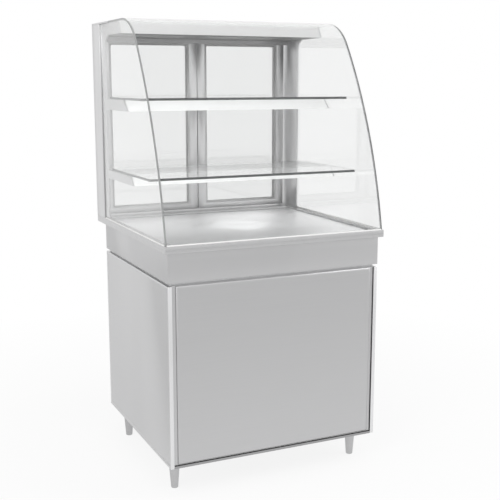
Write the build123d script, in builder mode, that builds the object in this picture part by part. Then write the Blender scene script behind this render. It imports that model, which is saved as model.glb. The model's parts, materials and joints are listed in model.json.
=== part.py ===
"""Refrigerated display case with a bent glass front, glass shelves and two rear doors.

Millimetres, +X to the right of someone facing the front, +Y to the back, +Z up.
The origin is on the floor under the middle of the worktop.
"""
import os
from math import cos, radians, sin, tan

from build123d import *

os.makedirs("parts", exist_ok=True)

# Worktop and cabinet
worktop_width = 800
worktop_depth = 778
worktop_height = 850
worktop_edge = 24
worktop_corner_round = 3
cabinet_side_inset = 13
cabinet_front_inset = 17
cabinet_rear_inset = 67
well_height = 98
shadow_gap = 10
shadow_inset = 12
sheet = 1.5

# Feet
foot_height = 106
foot_top_diameter = 40
foot_tip_diameter = 24
foot_tip_round = 3
foot_side_inset = 44
foot_end_inset = 90
foot_stud_diameter = 12
foot_stud_length = 34
foot_stud_clearance = 0.05

# Cabinet panels
cassette_depth = 13
cassette_border = 8
cassette_recess = 1.5
panel_groove = 13
front_panel_depth = 12
front_panel_round = 3
frame_stile = 54
frame_depth = 20
base_lip = 8
panel_gap = 4
base_upstand = 25
base_slot_length = 120
base_slot_width = 8
base_slot_pitch = 20
base_slot_count = 8
foot_boss_diameter = 24

# Rear of the cabinet
control_rail_height = 80
service_flange = 12
louvre_width = 250
louvre_height = 7
louvre_hood = 6
louvre_pitch = 24
louvre_rows = 14
screw_head_diameter = 9
screw_head_height = 2.5
screw_shank_diameter = 5
screw_inset = 22

# Controls on the rear rail
thermostat_width = 71
thermostat_height = 29
thermostat_depth = 55
thermostat_x = -60
bezel_border = 3
bezel_depth = 3
display_width = 34
display_height = 16
display_recess = 1
button_width = 8
button_height = 5
button_depth = 4
button_proud = 1
button_pitch = 11
button_count = 3
button_clearance = 0.2
rocker_radius = 9
rocker_width = 13
rocker_tilt_angle = 8
rocker_clearance = 0.3
rocker_pin_diameter = 3
rocker_x = 60
rocker_pitch = 40
gland_side_inset = 124
gland_diameter = 24
gland_bore = 9
gland_length = 18

# Cold well
rim_side = 30
rim_front = 22
rim_rear = 92
pocket_depth = 8
well_side_margin = 57
well_front_margin = 47
well_rear_margin = 32
well_sink = 90
well_liner = 1.2
well_liner_flange = 14
foam_thickness = 25
drain_diameter = 20
drain_length = 60
drain_inset = 60
hole_clearance = 1
deck_clearance = 1
air_slot = 12

# Glass hood, as a side profile: foot, long leaning arc, crown arc, flat top
glass_thickness = 6
glass_setback = 7
glass_side_inset = 3.5
glass_foot_angle = 10
glass_sweep_angle = 24
glass_radius = 1650
crown_radius = 178
roof_depth = 199
roof_fold = 3
glass_gap = 0.3

# Rear posts and bracket plates
post_width = 10
post_depth = 100
plate_thickness = 6
plate_width = 145
plate_rear_gap = 4
plate_fillet_top = 45
plate_fillet_shelf = 14

# Canopy and door header
canopy_reach_top = 255
canopy_reach_bottom = 276
canopy_depth = 42
header_height = 36.6
header_lead = 16
header_lip_drop = 21
header_gap = 4

# Shelves: rise of the glass over the worktop, reach of each piece in front of the plates
shelf_glass = 8
shelf_edge_round = 1
shelf_glass_setback = 25
shelf_glass_gap = 1
upper_shelf_rise = 450
upper_glass_reach = 385
upper_carrier_reach_top = 210
upper_carrier_reach_bottom = 252
upper_carrier_height = 38
lower_shelf_rise = 193
lower_glass_reach = 452
lower_carrier_reach_top = 270
lower_carrier_reach_bottom = 298
lower_carrier_height = 30
carrier_setback = 80
lamp_width = 26
lamp_setback = 22
lamp_end_inset = 24
lamp_thickness = 5
lamp_drop = 2
lamp_edge_round = 1.8

# Rear doors
door_rear_inset = 16
door_thickness = 26
door_stile_width = 31
door_rail_width = 21
bead_width = 8
bead_inset = 0.5
pane_thickness = 4
pane_rebate = 5
pane_air_gap = 12
door_bottom_gap = 4
door_meeting_gap = 3
door_side_gap = 7.5
door_swing_clearance = 0.7
pivot_inset = 9
pivot_diameter = 8
pivot_length = 10
pivot_clearance = 0.05
pivot_plate = 2
pivot_plate_width = 22
pivot_plate_depth = 24
grip_length = 180
grip_width = 12
grip_depth = 11
grip_wall = 2.5

# Refrigeration unit
compressor_diameter = 150
compressor_height = 165
compressor_dome_round = 45
compressor_side_inset = 174
compressor_rear_inset = 232
compressor_foot = 190
compressor_plate = 3
grommet_diameter = 22
grommet_height = 14
condenser_width = 300
condenser_height = 260
condenser_depth = 36
condenser_side_inset = 254
condenser_rear_gap = 24
condenser_fins = 16
fin_thickness = 1.2
tube_diameter = 9
condenser_tube_rows = 6
tube_bend_share = 0.45
shroud_depth = 34
shroud_wall = 1.2
fan_bore = 236
fan_blade_diameter = 226
fan_blade_count = 5
fan_blade_thickness = 2
fan_blade_half_width = 28
fan_blade_angle = 28
fan_hub_diameter = 44
fan_hub_length = 20
motor_diameter = 62
motor_length = 48
motor_shaft_diameter = 6
shaft_clearance = 0.05
motor_arm_width = 10
motor_arm_thickness = 4
motor_arm_angle = 35

# Evaporator and its fan in the well, pipes
evaporator_width = 300
evaporator_height = 54
evaporator_x = -10
evaporator_lift = 6
evaporator_fins = 14
evaporator_passes = 4
evaporator_pass_pitch = 30
small_fan_frame = 70
small_fan_depth = 25
small_fan_bore = 66
small_fan_blade = 63
small_fan_hub = 28
small_blade_half_width = 7
small_fan_gap = 6
small_fan_arm = 5
tube_stub = 20
pipe_bend = 20
pipe_reach = 40
suction_pipe_diameter = 10
liquid_pipe_diameter = 6
drier_diameter = 19
drier_length = 90
liquid_pipe_offset = 70

# Places worked out from the sizes above
half_width = worktop_width / 2
half_depth = worktop_depth / 2
cabinet_x = half_width - cabinet_side_inset
cabinet_front = -half_depth + cabinet_front_inset
cabinet_rear = half_depth - cabinet_rear_inset
cabinet_mid_y = (cabinet_front + cabinet_rear) / 2
cabinet_depth = cabinet_rear - cabinet_front
worktop_underside = worktop_height - worktop_edge
well_bottom = worktop_underside - well_height
cabinet_top = well_bottom - shadow_gap
cassette_inner_x = cabinet_x - cassette_depth
panel_x = cassette_inner_x - panel_groove
frame_face = cabinet_front + front_panel_depth
pocket_rear = half_depth - rim_rear
pocket_floor = worktop_height - pocket_depth
pocket_underside = pocket_floor - sheet
rim_underside = worktop_height - sheet
pocket_x = half_width - rim_side
pocket_front = -half_depth + rim_front
glass_x = half_width - glass_side_inset
glass_foot_y = -half_depth + glass_setback
glass_top_rear = half_depth - roof_depth
lean_end = glass_foot_angle + glass_sweep_angle
crown_turn = 90 - lean_end
glass_rise = glass_radius * (sin(radians(lean_end)) - sin(radians(glass_foot_angle)))
crown_rise = crown_radius * (1 - sin(radians(lean_end)))
glass_top = worktop_height + glass_rise + crown_rise
roof_underside = glass_top - glass_thickness
post_inner_x = half_width - post_width
post_front = half_depth - post_depth
plate_inner_x = post_inner_x - plate_thickness
plate_rear = half_depth - plate_rear_gap
plate_front = plate_rear - plate_width
side_glass_inner_x = glass_x - glass_thickness
door_rear = half_depth - door_rear_inset
door_front = door_rear - door_thickness
door_mid_y = (door_front + door_rear) / 2
door_bottom = worktop_height + door_bottom_gap
header_underside = roof_underside - header_height
door_top = header_underside - header_gap
door_height = door_top - door_bottom
door_outer_x = plate_inner_x - door_side_gap
door_inner_x = door_meeting_gap / 2
door_swing_reach = (pivot_inset**2 + (door_thickness / 2) ** 2) ** 0.5
pivot_x = door_outer_x - pivot_inset
lip_bottom = door_top - header_lip_drop
lip_rear = door_mid_y - door_swing_reach - door_swing_clearance
header_front = door_front - header_lead
canopy_underside = roof_underside - canopy_depth
canopy_front_top = header_front - canopy_reach_top
canopy_front_bottom = header_front - canopy_reach_bottom
upper_carrier_top = worktop_height + upper_shelf_rise - shelf_glass
lower_carrier_top = worktop_height + lower_shelf_rise - shelf_glass
upper_carrier_bottom = upper_carrier_top - upper_carrier_height
lower_carrier_bottom = lower_carrier_top - lower_carrier_height
upper_carrier_top_front = plate_front - upper_carrier_reach_top
upper_carrier_bottom_front = plate_front - upper_carrier_reach_bottom
lower_carrier_top_front = plate_front - lower_carrier_reach_top
lower_carrier_bottom_front = plate_front - lower_carrier_reach_bottom
upper_glass_front = plate_front - upper_glass_reach
lower_glass_front = plate_front - lower_glass_reach
shelf_glass_rear = plate_front - shelf_glass_setback
carrier_rear = plate_front - carrier_setback
well_half_width = cabinet_x - well_side_margin
well_front = cabinet_front + well_front_margin
well_rear = cabinet_rear - well_rear_margin
well_floor = worktop_height - well_sink
base_top = foot_height + sheet
foot_x = cabinet_x - foot_side_inset
foot_front_y = cabinet_front + foot_end_inset
foot_rear_y = cabinet_rear - foot_end_inset
rail_bottom = cabinet_top - control_rail_height
gland_x = cassette_inner_x - gland_side_inset
compressor_x = compressor_side_inset - cassette_inner_x
compressor_y = cabinet_rear - compressor_rear_inset
condenser_x = cassette_inner_x - condenser_side_inset
liquid_pipe_x = compressor_x + liquid_pipe_offset
compressor_base = base_top + grommet_height
condenser_rear = cabinet_rear - condenser_rear_gap
condenser_front = condenser_rear - condenser_depth
condenser_bottom = base_top
fan_z = condenser_bottom + condenser_height / 2
shroud_front = condenser_front - shroud_depth
fan_y = shroud_front + shroud_depth / 2
compressor_top = compressor_base + compressor_plate + compressor_height
suction_place = (compressor_x, compressor_y + compressor_diameter / 2 + pipe_reach)
liquid_place = (compressor_x, suction_place[1] - (evaporator_passes - 1) * evaporator_pass_pitch)
evaporator_y = (suction_place[1] + liquid_place[1]) / 2
evaporator_depth = evaporator_passes * evaporator_pass_pitch
well_inside_floor = well_floor + well_liner
evaporator_bottom = well_inside_floor + evaporator_lift
evaporator_z = evaporator_bottom + evaporator_height / 2
condenser_y = condenser_rear - condenser_depth / 2
condenser_row_pitch = condenser_height / condenser_tube_rows


def facing_front(y):
    """Sketch plane at depth y, X right and Z up; a positive extrusion goes to the front."""
    return Plane.XZ.offset(-y)


def facing_right(x):
    """Sketch plane at width x, Y to the right and Z up; a positive extrusion goes to +X."""
    return Plane.YZ.offset(x)


def level(z):
    """Horizontal sketch plane at height z."""
    return Plane.XY.offset(z)


# Feet: turned cones with a threaded stud, one node for each corner
foot_places = {
    "foot_front_left": (-foot_x, foot_front_y),
    "foot_front_right": (foot_x, foot_front_y),
    "foot_rear_left": (-foot_x, foot_rear_y),
    "foot_rear_right": (foot_x, foot_rear_y),
}
for foot_node, (x, y) in foot_places.items():
    with BuildPart() as foot:
        with BuildSketch(Plane((x, y, 0), x_dir=(1, 0, 0), z_dir=(0, -1, 0))):
            with BuildLine():
                Polyline(
                    (0, 0),
                    (foot_tip_diameter / 2, 0),
                    (foot_top_diameter / 2, foot_height),
                    (foot_stud_diameter / 2, foot_height),
                    (foot_stud_diameter / 2, foot_height + foot_stud_length),
                    (0, foot_height + foot_stud_length),
                    close=True,
                )
            make_face()
        revolve(axis=Axis((x, y, 0), (0, 0, 1)))
        fillet(foot.edges().group_by(Axis.Z)[0], radius=foot_tip_round)
    foot.part.label = foot_node
    export_step(foot.part, f"parts/{foot_node}.step")

# Base pan: folded tray with weld bosses for the feet and intake slots
base_inner_x = cassette_inner_x
boss_height = foot_stud_length + sheet
with BuildPart() as base_pan:
    with BuildSketch(level(foot_height)):
        with Locations((0, cabinet_mid_y)):
            Rectangle(2 * base_inner_x, cabinet_depth)
    extrude(amount=base_upstand)
    with BuildSketch(level(base_top)):
        with Locations((0, cabinet_mid_y)):
            Rectangle(2 * (base_inner_x - sheet), cabinet_depth - 2 * sheet)
    extrude(amount=base_upstand, mode=Mode.SUBTRACT)
    with BuildSketch(level(foot_height + base_lip)):
        with Locations((0, cabinet_front)):
            Rectangle(2 * base_inner_x, 2 * front_panel_depth)
    extrude(amount=base_upstand, mode=Mode.SUBTRACT)
    with BuildSketch(level(foot_height)):
        with Locations(*foot_places.values()):
            Circle(foot_boss_diameter / 2)
    extrude(amount=boss_height)
    with BuildSketch(level(foot_height)):
        with Locations(*foot_places.values()):
            Circle(foot_stud_diameter / 2 + foot_stud_clearance)
    extrude(amount=boss_height, mode=Mode.SUBTRACT)
    with BuildSketch(level(foot_height)):
        with Locations((0, foot_front_y)):
            with GridLocations(base_slot_pitch, 0, base_slot_count, 1):
                SlotOverall(base_slot_length, base_slot_width, rotation=90)
    extrude(amount=sheet, mode=Mode.SUBTRACT)
base_pan.part.label = "base_pan"
export_step(base_pan.part, "parts/base_pan.step")

# Side panels: cassettes folded inwards, with a pressed-in field on the outside
side_bottom = foot_height
side_height = cabinet_top - side_bottom
side_mid_z = side_bottom + side_height / 2
with BuildPart() as side_panel_right:
    with BuildSketch(facing_right(cassette_inner_x)):
        with Locations((cabinet_mid_y, side_mid_z)):
            Rectangle(cabinet_depth, side_height)
    extrude(amount=cassette_depth)
    with BuildSketch(facing_right(cassette_inner_x)):
        with Locations((cabinet_mid_y, side_mid_z)):
            Rectangle(cabinet_depth - 2 * sheet, side_height - 2 * sheet)
    extrude(amount=cassette_depth - cassette_recess - sheet, mode=Mode.SUBTRACT)
    with BuildSketch(facing_right(cabinet_x)):
        with Locations((cabinet_mid_y, side_mid_z)):
            Rectangle(cabinet_depth - 2 * cassette_border, side_height - 2 * cassette_border)
    extrude(amount=-cassette_recess, mode=Mode.SUBTRACT)
side_panel_right.part.label = "side_panel_right"
export_step(side_panel_right.part, "parts/side_panel_right.step")

with BuildPart() as side_panel_left:
    add(mirror(side_panel_right.part, about=Plane.YZ))
side_panel_left.part.label = "side_panel_left"
export_step(side_panel_left.part, "parts/side_panel_left.step")

# Front frame: folded ring behind the front panel, seen in the grooves round it
frame_bottom = foot_height + base_upstand
frame_height = cabinet_top - frame_bottom
frame_mid_z = frame_bottom + frame_height / 2
with BuildPart() as front_frame:
    with BuildSketch(facing_front(frame_face)):
        with Locations((0, frame_mid_z)):
            Rectangle(2 * cassette_inner_x, frame_height)
            Rectangle(
                2 * (cassette_inner_x - frame_stile), frame_height - 2 * frame_stile, mode=Mode.SUBTRACT
            )
    extrude(amount=-frame_depth)
    with BuildSketch(facing_front(frame_face + sheet)):
        with Locations((0, frame_mid_z)):
            Rectangle(2 * (cassette_inner_x - sheet), frame_height - 2 * sheet)
            Rectangle(
                2 * (cassette_inner_x - frame_stile + sheet),
                frame_height - 2 * (frame_stile - sheet),
                mode=Mode.SUBTRACT,
            )
    extrude(amount=-frame_depth, mode=Mode.SUBTRACT)
front_frame.part.label = "front_frame"
export_step(front_frame.part, "parts/front_frame.step")

# Front panel: cassette with rounded outer edges
panel_bottom = foot_height + base_lip + panel_gap
panel_top = cabinet_top
panel_mid_z = (panel_bottom + panel_top) / 2
panel_height = panel_top - panel_bottom
with BuildPart() as front_panel:
    with BuildSketch(facing_front(frame_face)):
        with Locations((0, panel_mid_z)):
            Rectangle(2 * panel_x, panel_height)
    extrude(amount=front_panel_depth)
    fillet(front_panel.faces().sort_by(Axis.Y)[0].edges(), radius=front_panel_round)
    with BuildSketch(facing_front(frame_face)):
        with Locations((0, panel_mid_z)):
            Rectangle(2 * (panel_x - front_panel_round), panel_height - 2 * front_panel_round)
    extrude(amount=front_panel_depth - sheet, mode=Mode.SUBTRACT)
front_panel.part.label = "front_panel"
export_step(front_panel.part, "parts/front_panel.step")

# Top frame: set back all round, so that a shadow gap parts the cabinet from the well
top_frame_x = cabinet_x - shadow_inset
top_frame_depth = cabinet_depth - 2 * shadow_inset
with BuildPart() as top_frame:
    with BuildSketch(level(cabinet_top)):
        with Locations((0, cabinet_mid_y)):
            Rectangle(2 * top_frame_x, top_frame_depth)
            Rectangle(2 * (top_frame_x - frame_stile), top_frame_depth - 2 * frame_stile, mode=Mode.SUBTRACT)
    extrude(amount=shadow_gap)
    with BuildSketch(level(cabinet_top)):
        with Locations((0, cabinet_mid_y)):
            Rectangle(2 * (top_frame_x - sheet), top_frame_depth - 2 * sheet)
            Rectangle(
                2 * (top_frame_x - frame_stile + sheet),
                top_frame_depth - 2 * (frame_stile - sheet),
                mode=Mode.SUBTRACT,
            )
    extrude(amount=shadow_gap - sheet, mode=Mode.SUBTRACT)
top_frame.part.label = "top_frame"
export_step(top_frame.part, "parts/top_frame.step")

# Rear service panel: folded edges and two columns of pressed louvres
service_bottom = foot_height + base_upstand
service_height = rail_bottom - service_bottom
service_mid_z = service_bottom + service_height / 2
louvre_spacing = cassette_inner_x
service_face = cabinet_rear
with BuildPart() as service_panel:
    with BuildSketch(facing_front(service_face)):
        with Locations((0, service_mid_z)):
            Rectangle(2 * cassette_inner_x, service_height)
    extrude(amount=service_flange)
    with BuildSketch(facing_front(service_face - service_flange)):
        with Locations((0, service_mid_z)):
            Rectangle(2 * (cassette_inner_x - sheet), service_height - 2 * sheet)
    extrude(amount=-(service_flange - sheet), mode=Mode.SUBTRACT)
    with BuildSketch(facing_front(service_face)):
        with Locations((0, service_mid_z)):
            with GridLocations(louvre_spacing, louvre_pitch, 2, louvre_rows):
                Rectangle(louvre_width, louvre_height)
    extrude(amount=sheet, mode=Mode.SUBTRACT)
    for column in (-1, 1):
        for row in range(louvre_rows):
            slot_z = service_mid_z + (row - (louvre_rows - 1) / 2) * louvre_pitch
            slot_top = slot_z + louvre_height / 2
            hood_x = (column * louvre_spacing - louvre_width) / 2
            with BuildSketch(facing_right(hood_x)):
                with BuildLine():
                    Polyline(
                        (service_face - sheet, slot_top),
                        (service_face - sheet, slot_top + sheet),
                        (service_face, slot_top + sheet),
                        (service_face + louvre_hood, slot_z - louvre_height / 2),
                        (service_face + louvre_hood - sheet, slot_z - louvre_height / 2),
                        (service_face - sheet / 2, slot_top),
                        close=True,
                    )
                make_face()
            extrude(amount=louvre_width)
    screw_x = cassette_inner_x - screw_inset
    screw_z = service_height / 2 - screw_inset
    with BuildSketch(facing_front(service_face)):
        with Locations((0, service_mid_z)):
            with GridLocations(2 * screw_x, 2 * screw_z, 2, 2):
                Circle(screw_shank_diameter / 2)
    extrude(amount=sheet, mode=Mode.SUBTRACT)
service_panel.part.label = "service_panel"
export_step(service_panel.part, "parts/service_panel.step")

with BuildPart() as service_screws:
    with BuildSketch(facing_front(service_face)):
        with Locations((0, service_mid_z)):
            with GridLocations(2 * screw_x, 2 * screw_z, 2, 2):
                Circle(screw_head_diameter / 2)
    extrude(amount=-screw_head_height)
    fillet(service_screws.edges().group_by(Axis.Y)[-1], radius=screw_head_height / 2)
    with BuildSketch(facing_front(service_face)):
        with Locations((0, service_mid_z)):
            with GridLocations(2 * screw_x, 2 * screw_z, 2, 2):
                Circle(screw_shank_diameter / 2)
    extrude(amount=service_flange)
service_screws.part.label = "service_screws"
export_step(service_screws.part, "parts/service_screws.step")

# Control rail: strip across the top of the cabinet's back that carries the controls
rail_mid_z = rail_bottom + control_rail_height / 2
rocker_hole_height = 2 * (rocker_radius + rocker_clearance)
rocker_hole_width = rocker_width + 2 * rocker_clearance
rocker_bezel_width = rocker_hole_width + 2 * bezel_border
rocker_bezel_height = rocker_hole_height + 2 * bezel_border
rocker_places = [(rocker_x, rail_mid_z), (rocker_x + rocker_pitch, rail_mid_z)]
with BuildPart() as control_rail:
    with BuildSketch(facing_front(cabinet_rear)):
        with Locations((0, rail_mid_z)):
            Rectangle(2 * cassette_inner_x, control_rail_height)
    extrude(amount=service_flange)
    with BuildSketch(facing_front(cabinet_rear - service_flange)):
        with Locations((0, rail_mid_z)):
            Rectangle(2 * (cassette_inner_x - sheet), control_rail_height - 2 * sheet)
    extrude(amount=-(service_flange - sheet), mode=Mode.SUBTRACT)
    with BuildSketch(facing_front(cabinet_rear)):
        with Locations((thermostat_x, rail_mid_z)):
            Rectangle(thermostat_width, thermostat_height)
        with Locations(*rocker_places):
            Rectangle(rocker_bezel_width - bezel_border, rocker_bezel_height - bezel_border)
        with Locations((gland_x, rail_mid_z)):
            Circle(gland_diameter / 2 - bezel_border)
    extrude(amount=sheet, mode=Mode.SUBTRACT)
control_rail.part.label = "control_rail"
export_step(control_rail.part, "parts/control_rail.step")

# Thermostat: bezel outside the rail, case inside it, display recess and button pockets
button_x = thermostat_x + thermostat_width / 2 - button_count * button_pitch / 2
display_x = thermostat_x - thermostat_width / 2 + display_width / 2
with BuildPart() as thermostat:
    with BuildSketch(facing_front(cabinet_rear)):
        with Locations((thermostat_x, rail_mid_z)):
            RectangleRounded(
                thermostat_width + 2 * bezel_border, thermostat_height + 2 * bezel_border, bezel_border
            )
    extrude(amount=-bezel_depth)
    with BuildSketch(facing_front(cabinet_rear)):
        with Locations((thermostat_x, rail_mid_z)):
            Rectangle(thermostat_width, thermostat_height)
    extrude(amount=thermostat_depth)
    with BuildSketch(facing_front(cabinet_rear + bezel_depth)):
        with Locations((display_x, rail_mid_z)):
            Rectangle(display_width, display_height)
    extrude(amount=display_recess, mode=Mode.SUBTRACT)
    with BuildSketch(facing_front(cabinet_rear + bezel_depth)):
        with Locations((button_x, rail_mid_z)):
            with GridLocations(button_pitch, 0, button_count, 1):
                Rectangle(button_width + 2 * button_clearance, button_height + 2 * button_clearance)
    extrude(amount=button_depth + button_proud, mode=Mode.SUBTRACT)
thermostat.part.label = "thermostat"
export_step(thermostat.part, "parts/thermostat.step")

button_nodes = ["button_set", "button_down", "button_up"]
for index, button_node in enumerate(button_nodes):
    x = button_x + (index - (button_count - 1) / 2) * button_pitch
    with BuildPart() as button:
        with BuildSketch(facing_front(cabinet_rear + bezel_depth + button_proud)):
            with Locations((x, rail_mid_z)):
                Rectangle(button_width, button_height)
        extrude(amount=button_depth)
        fillet(button.faces().sort_by(Axis.Y)[-1].edges(), radius=button_proud / 2)
    button.part.label = button_node
    export_step(button.part, f"parts/{button_node}.step")

# Rocker switches: housings in the rail and rockers on pins through them
rocker_pin_y = cabinet_rear
rocker_case_depth = rocker_radius + bezel_border
with BuildPart() as switch_housings:
    with BuildSketch(facing_front(cabinet_rear)):
        with Locations(*rocker_places):
            Rectangle(rocker_bezel_width, rocker_bezel_height)
            Rectangle(rocker_hole_width, rocker_hole_height, mode=Mode.SUBTRACT)
    extrude(amount=-bezel_depth)
    with BuildSketch(facing_front(cabinet_rear)):
        with Locations(*rocker_places):
            Rectangle(rocker_bezel_width - bezel_border, rocker_bezel_height - bezel_border)
            Rectangle(rocker_hole_width, rocker_hole_height, mode=Mode.SUBTRACT)
    extrude(amount=rocker_case_depth)
    with BuildSketch(facing_front(cabinet_rear - rocker_case_depth)):
        with Locations(*rocker_places):
            Rectangle(rocker_bezel_width - bezel_border, rocker_bezel_height - bezel_border)
    extrude(amount=bezel_border)
    for pin_x, _ in rocker_places:
        with BuildSketch(facing_right(pin_x - rocker_hole_width / 2)):
            with Locations((rocker_pin_y, rail_mid_z)):
                Circle(rocker_pin_diameter / 2)
        extrude(amount=rocker_hole_width)
switch_housings.part.label = "switch_housings"
export_step(switch_housings.part, "parts/switch_housings.step")

rocker_nodes = ["rocker_power", "rocker_lamps"]
rocker_crest = rocker_pin_y + rocker_radius * sin(radians(rocker_tilt_angle)) + bezel_depth
rocker_low = rocker_crest - rocker_radius * tan(radians(2 * rocker_tilt_angle))
for rocker_node, (x, z) in zip(rocker_nodes, rocker_places):
    with BuildPart() as rocker:
        with BuildSketch(facing_right(x - rocker_width / 2)):
            with Locations((rocker_pin_y, z)):
                Circle(rocker_radius)
            with BuildLine():
                Polyline(
                    (rocker_crest, z),
                    (rocker_crest, z + rocker_radius),
                    (rocker_pin_y + 2 * rocker_radius, z + rocker_radius),
                    (rocker_pin_y + 2 * rocker_radius, z - rocker_radius),
                    (rocker_low, z - rocker_radius),
                    close=True,
                )
            make_face(mode=Mode.SUBTRACT)
            with Locations((rocker_pin_y, z)):
                Circle(rocker_pin_diameter / 2 + shaft_clearance, mode=Mode.SUBTRACT)
        extrude(amount=rocker_width)
    rocker.part.label = rocker_node
    export_step(rocker.part, f"parts/{rocker_node}.step")

# Cable gland: hexagon outside the rail, sleeve through it, bore for the supply cable
with BuildPart() as cable_gland:
    with BuildSketch(facing_front(cabinet_rear)):
        with Locations((gland_x, rail_mid_z)):
            RegularPolygon(gland_diameter / 2, 6)
    extrude(amount=-gland_length)
    with BuildSketch(facing_front(cabinet_rear)):
        with Locations((gland_x, rail_mid_z)):
            Circle(gland_diameter / 2 - bezel_border)
    extrude(amount=gland_length)
    with BuildSketch(facing_front(cabinet_rear + gland_length)):
        with Locations((gland_x, rail_mid_z)):
            Circle(gland_bore / 2)
    extrude(amount=2 * gland_length, mode=Mode.SUBTRACT)
cable_gland.part.label = "cable_gland"
export_step(cable_gland.part, "parts/cable_gland.step")

# Well casing: folded box under the worktop, with holes for the drain and the pipe
casing_height = rim_underside - well_bottom
drain_place = (-well_half_width + drain_inset, well_front + drain_inset)
with BuildPart() as well_casing:
    with BuildSketch(level(well_bottom)):
        with Locations((0, cabinet_mid_y)):
            Rectangle(2 * cabinet_x, cabinet_depth)
    extrude(amount=casing_height)
    with BuildSketch(level(well_bottom + sheet)):
        with Locations((0, cabinet_mid_y)):
            Rectangle(2 * (cabinet_x - sheet), cabinet_depth - 2 * sheet)
    extrude(amount=casing_height, mode=Mode.SUBTRACT)
    with BuildSketch(level(well_bottom)):
        with Locations(drain_place):
            Circle(drain_diameter / 2 + hole_clearance)
        with Locations(suction_place, liquid_place):
            Circle(suction_pipe_diameter / 2 + hole_clearance)
    extrude(amount=sheet, mode=Mode.SUBTRACT)
well_casing.part.label = "well_casing"
export_step(well_casing.part, "parts/well_casing.step")

# Foam: block round the liner, standing on the casing floor
well_mid_y = (well_front + well_rear) / 2
well_depth = well_rear - well_front
foam_bottom = well_bottom + sheet
foam_top = pocket_underside - well_liner
with BuildPart() as well_foam:
    with BuildSketch(level(foam_bottom)):
        with Locations((0, well_mid_y)):
            Rectangle(2 * (well_half_width + foam_thickness), well_depth + 2 * foam_thickness)
    extrude(amount=foam_top - foam_bottom)
    with BuildSketch(level(well_floor)):
        with Locations((0, well_mid_y)):
            Rectangle(2 * well_half_width, well_depth)
    extrude(amount=foam_top - well_floor, mode=Mode.SUBTRACT)
    with BuildSketch(level(foam_bottom)):
        with Locations(drain_place):
            Circle(drain_diameter / 2 + hole_clearance)
        with Locations(suction_place, liquid_place):
            Circle(suction_pipe_diameter / 2 + hole_clearance)
    extrude(amount=well_floor - foam_bottom, mode=Mode.SUBTRACT)
well_foam.part.label = "well_foam"
export_step(well_foam.part, "parts/well_foam.step")

# Well liner: pressed tub with a flange under the worktop and a drain spout
with BuildPart() as well_liner_tub:
    with BuildSketch(level(well_floor)):
        with Locations((0, well_mid_y)):
            Rectangle(2 * well_half_width, well_depth)
    extrude(amount=foam_top - well_floor)
    with BuildSketch(level(foam_top)):
        with Locations((0, well_mid_y)):
            Rectangle(2 * (well_half_width + well_liner_flange), well_depth + 2 * well_liner_flange)
    extrude(amount=well_liner)
    with BuildSketch(level(well_floor + well_liner)):
        with Locations((0, well_mid_y)):
            Rectangle(2 * (well_half_width - well_liner), well_depth - 2 * well_liner)
    extrude(amount=worktop_height - well_floor, mode=Mode.SUBTRACT)
    with BuildSketch(level(well_floor)):
        with Locations(drain_place):
            Circle(drain_diameter / 2)
    extrude(amount=-drain_length)
    with BuildSketch(level(well_floor + well_liner)):
        with Locations(drain_place):
            Circle(drain_diameter / 2 - well_liner)
        with Locations(suction_place, liquid_place):
            Circle(suction_pipe_diameter / 2 + hole_clearance)
    extrude(amount=-(drain_length + well_liner), mode=Mode.SUBTRACT)
well_liner_tub.part.label = "well_liner"
export_step(well_liner_tub.part, "parts/well_liner.step")

# Worktop: folded skirt, raised rim, recessed ledge and the opening over the well
pocket_mid_y = (pocket_front + pocket_rear) / 2
pocket_length = pocket_rear - pocket_front
opening_x = well_half_width - well_liner
opening_depth = well_depth - 2 * well_liner
with BuildPart() as worktop:
    with BuildSketch(level(worktop_underside)):
        Rectangle(worktop_width, worktop_depth)
    extrude(amount=worktop_edge)
    with BuildSketch(level(worktop_underside)):
        Rectangle(worktop_width - 2 * sheet, worktop_depth - 2 * sheet)
        with Locations((0, pocket_mid_y)):
            Rectangle(2 * (pocket_x + sheet), pocket_length + 2 * sheet, mode=Mode.SUBTRACT)
    extrude(amount=worktop_edge - sheet, mode=Mode.SUBTRACT)
    with BuildSketch(level(worktop_underside)):
        with Locations((0, pocket_mid_y)):
            Rectangle(2 * (pocket_x + sheet), pocket_length + 2 * sheet)
    extrude(amount=pocket_underside - worktop_underside, mode=Mode.SUBTRACT)
    with BuildSketch(level(pocket_floor)):
        with Locations((0, pocket_mid_y)):
            Rectangle(2 * pocket_x, pocket_length)
    extrude(amount=pocket_depth, mode=Mode.SUBTRACT)
    with BuildSketch(level(pocket_underside)):
        with Locations((0, well_mid_y)):
            Rectangle(2 * opening_x, opening_depth)
    extrude(amount=sheet, mode=Mode.SUBTRACT)
    upright_edges = worktop.edges().filter_by(Axis.Z)
    left_corners = upright_edges.group_by(Axis.X)[0]
    right_corners = upright_edges.group_by(Axis.X)[-1]
    fillet(left_corners + right_corners, radius=worktop_corner_round)
worktop.part.label = "worktop"
export_step(worktop.part, "parts/worktop.step")

# Deck: display floor in the recess, with an air slot left along its rear edge
deck_front = pocket_front + deck_clearance
deck_rear = pocket_rear - air_slot
deck_x = pocket_x - deck_clearance
with BuildPart() as deck:
    with BuildSketch(level(pocket_floor)):
        with Locations((0, (deck_front + deck_rear) / 2)):
            Rectangle(2 * deck_x, deck_rear - deck_front)
    extrude(amount=sheet)
    with BuildSketch(level(pocket_floor)):
        with Locations((0, (deck_front + well_rear - well_liner - air_slot) / 2)):
            Rectangle(2 * (opening_x - deck_clearance), 2 * sheet)
    extrude(amount=-pocket_depth)
deck.part.label = "deck"
export_step(deck.part, "parts/deck.step")

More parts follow.
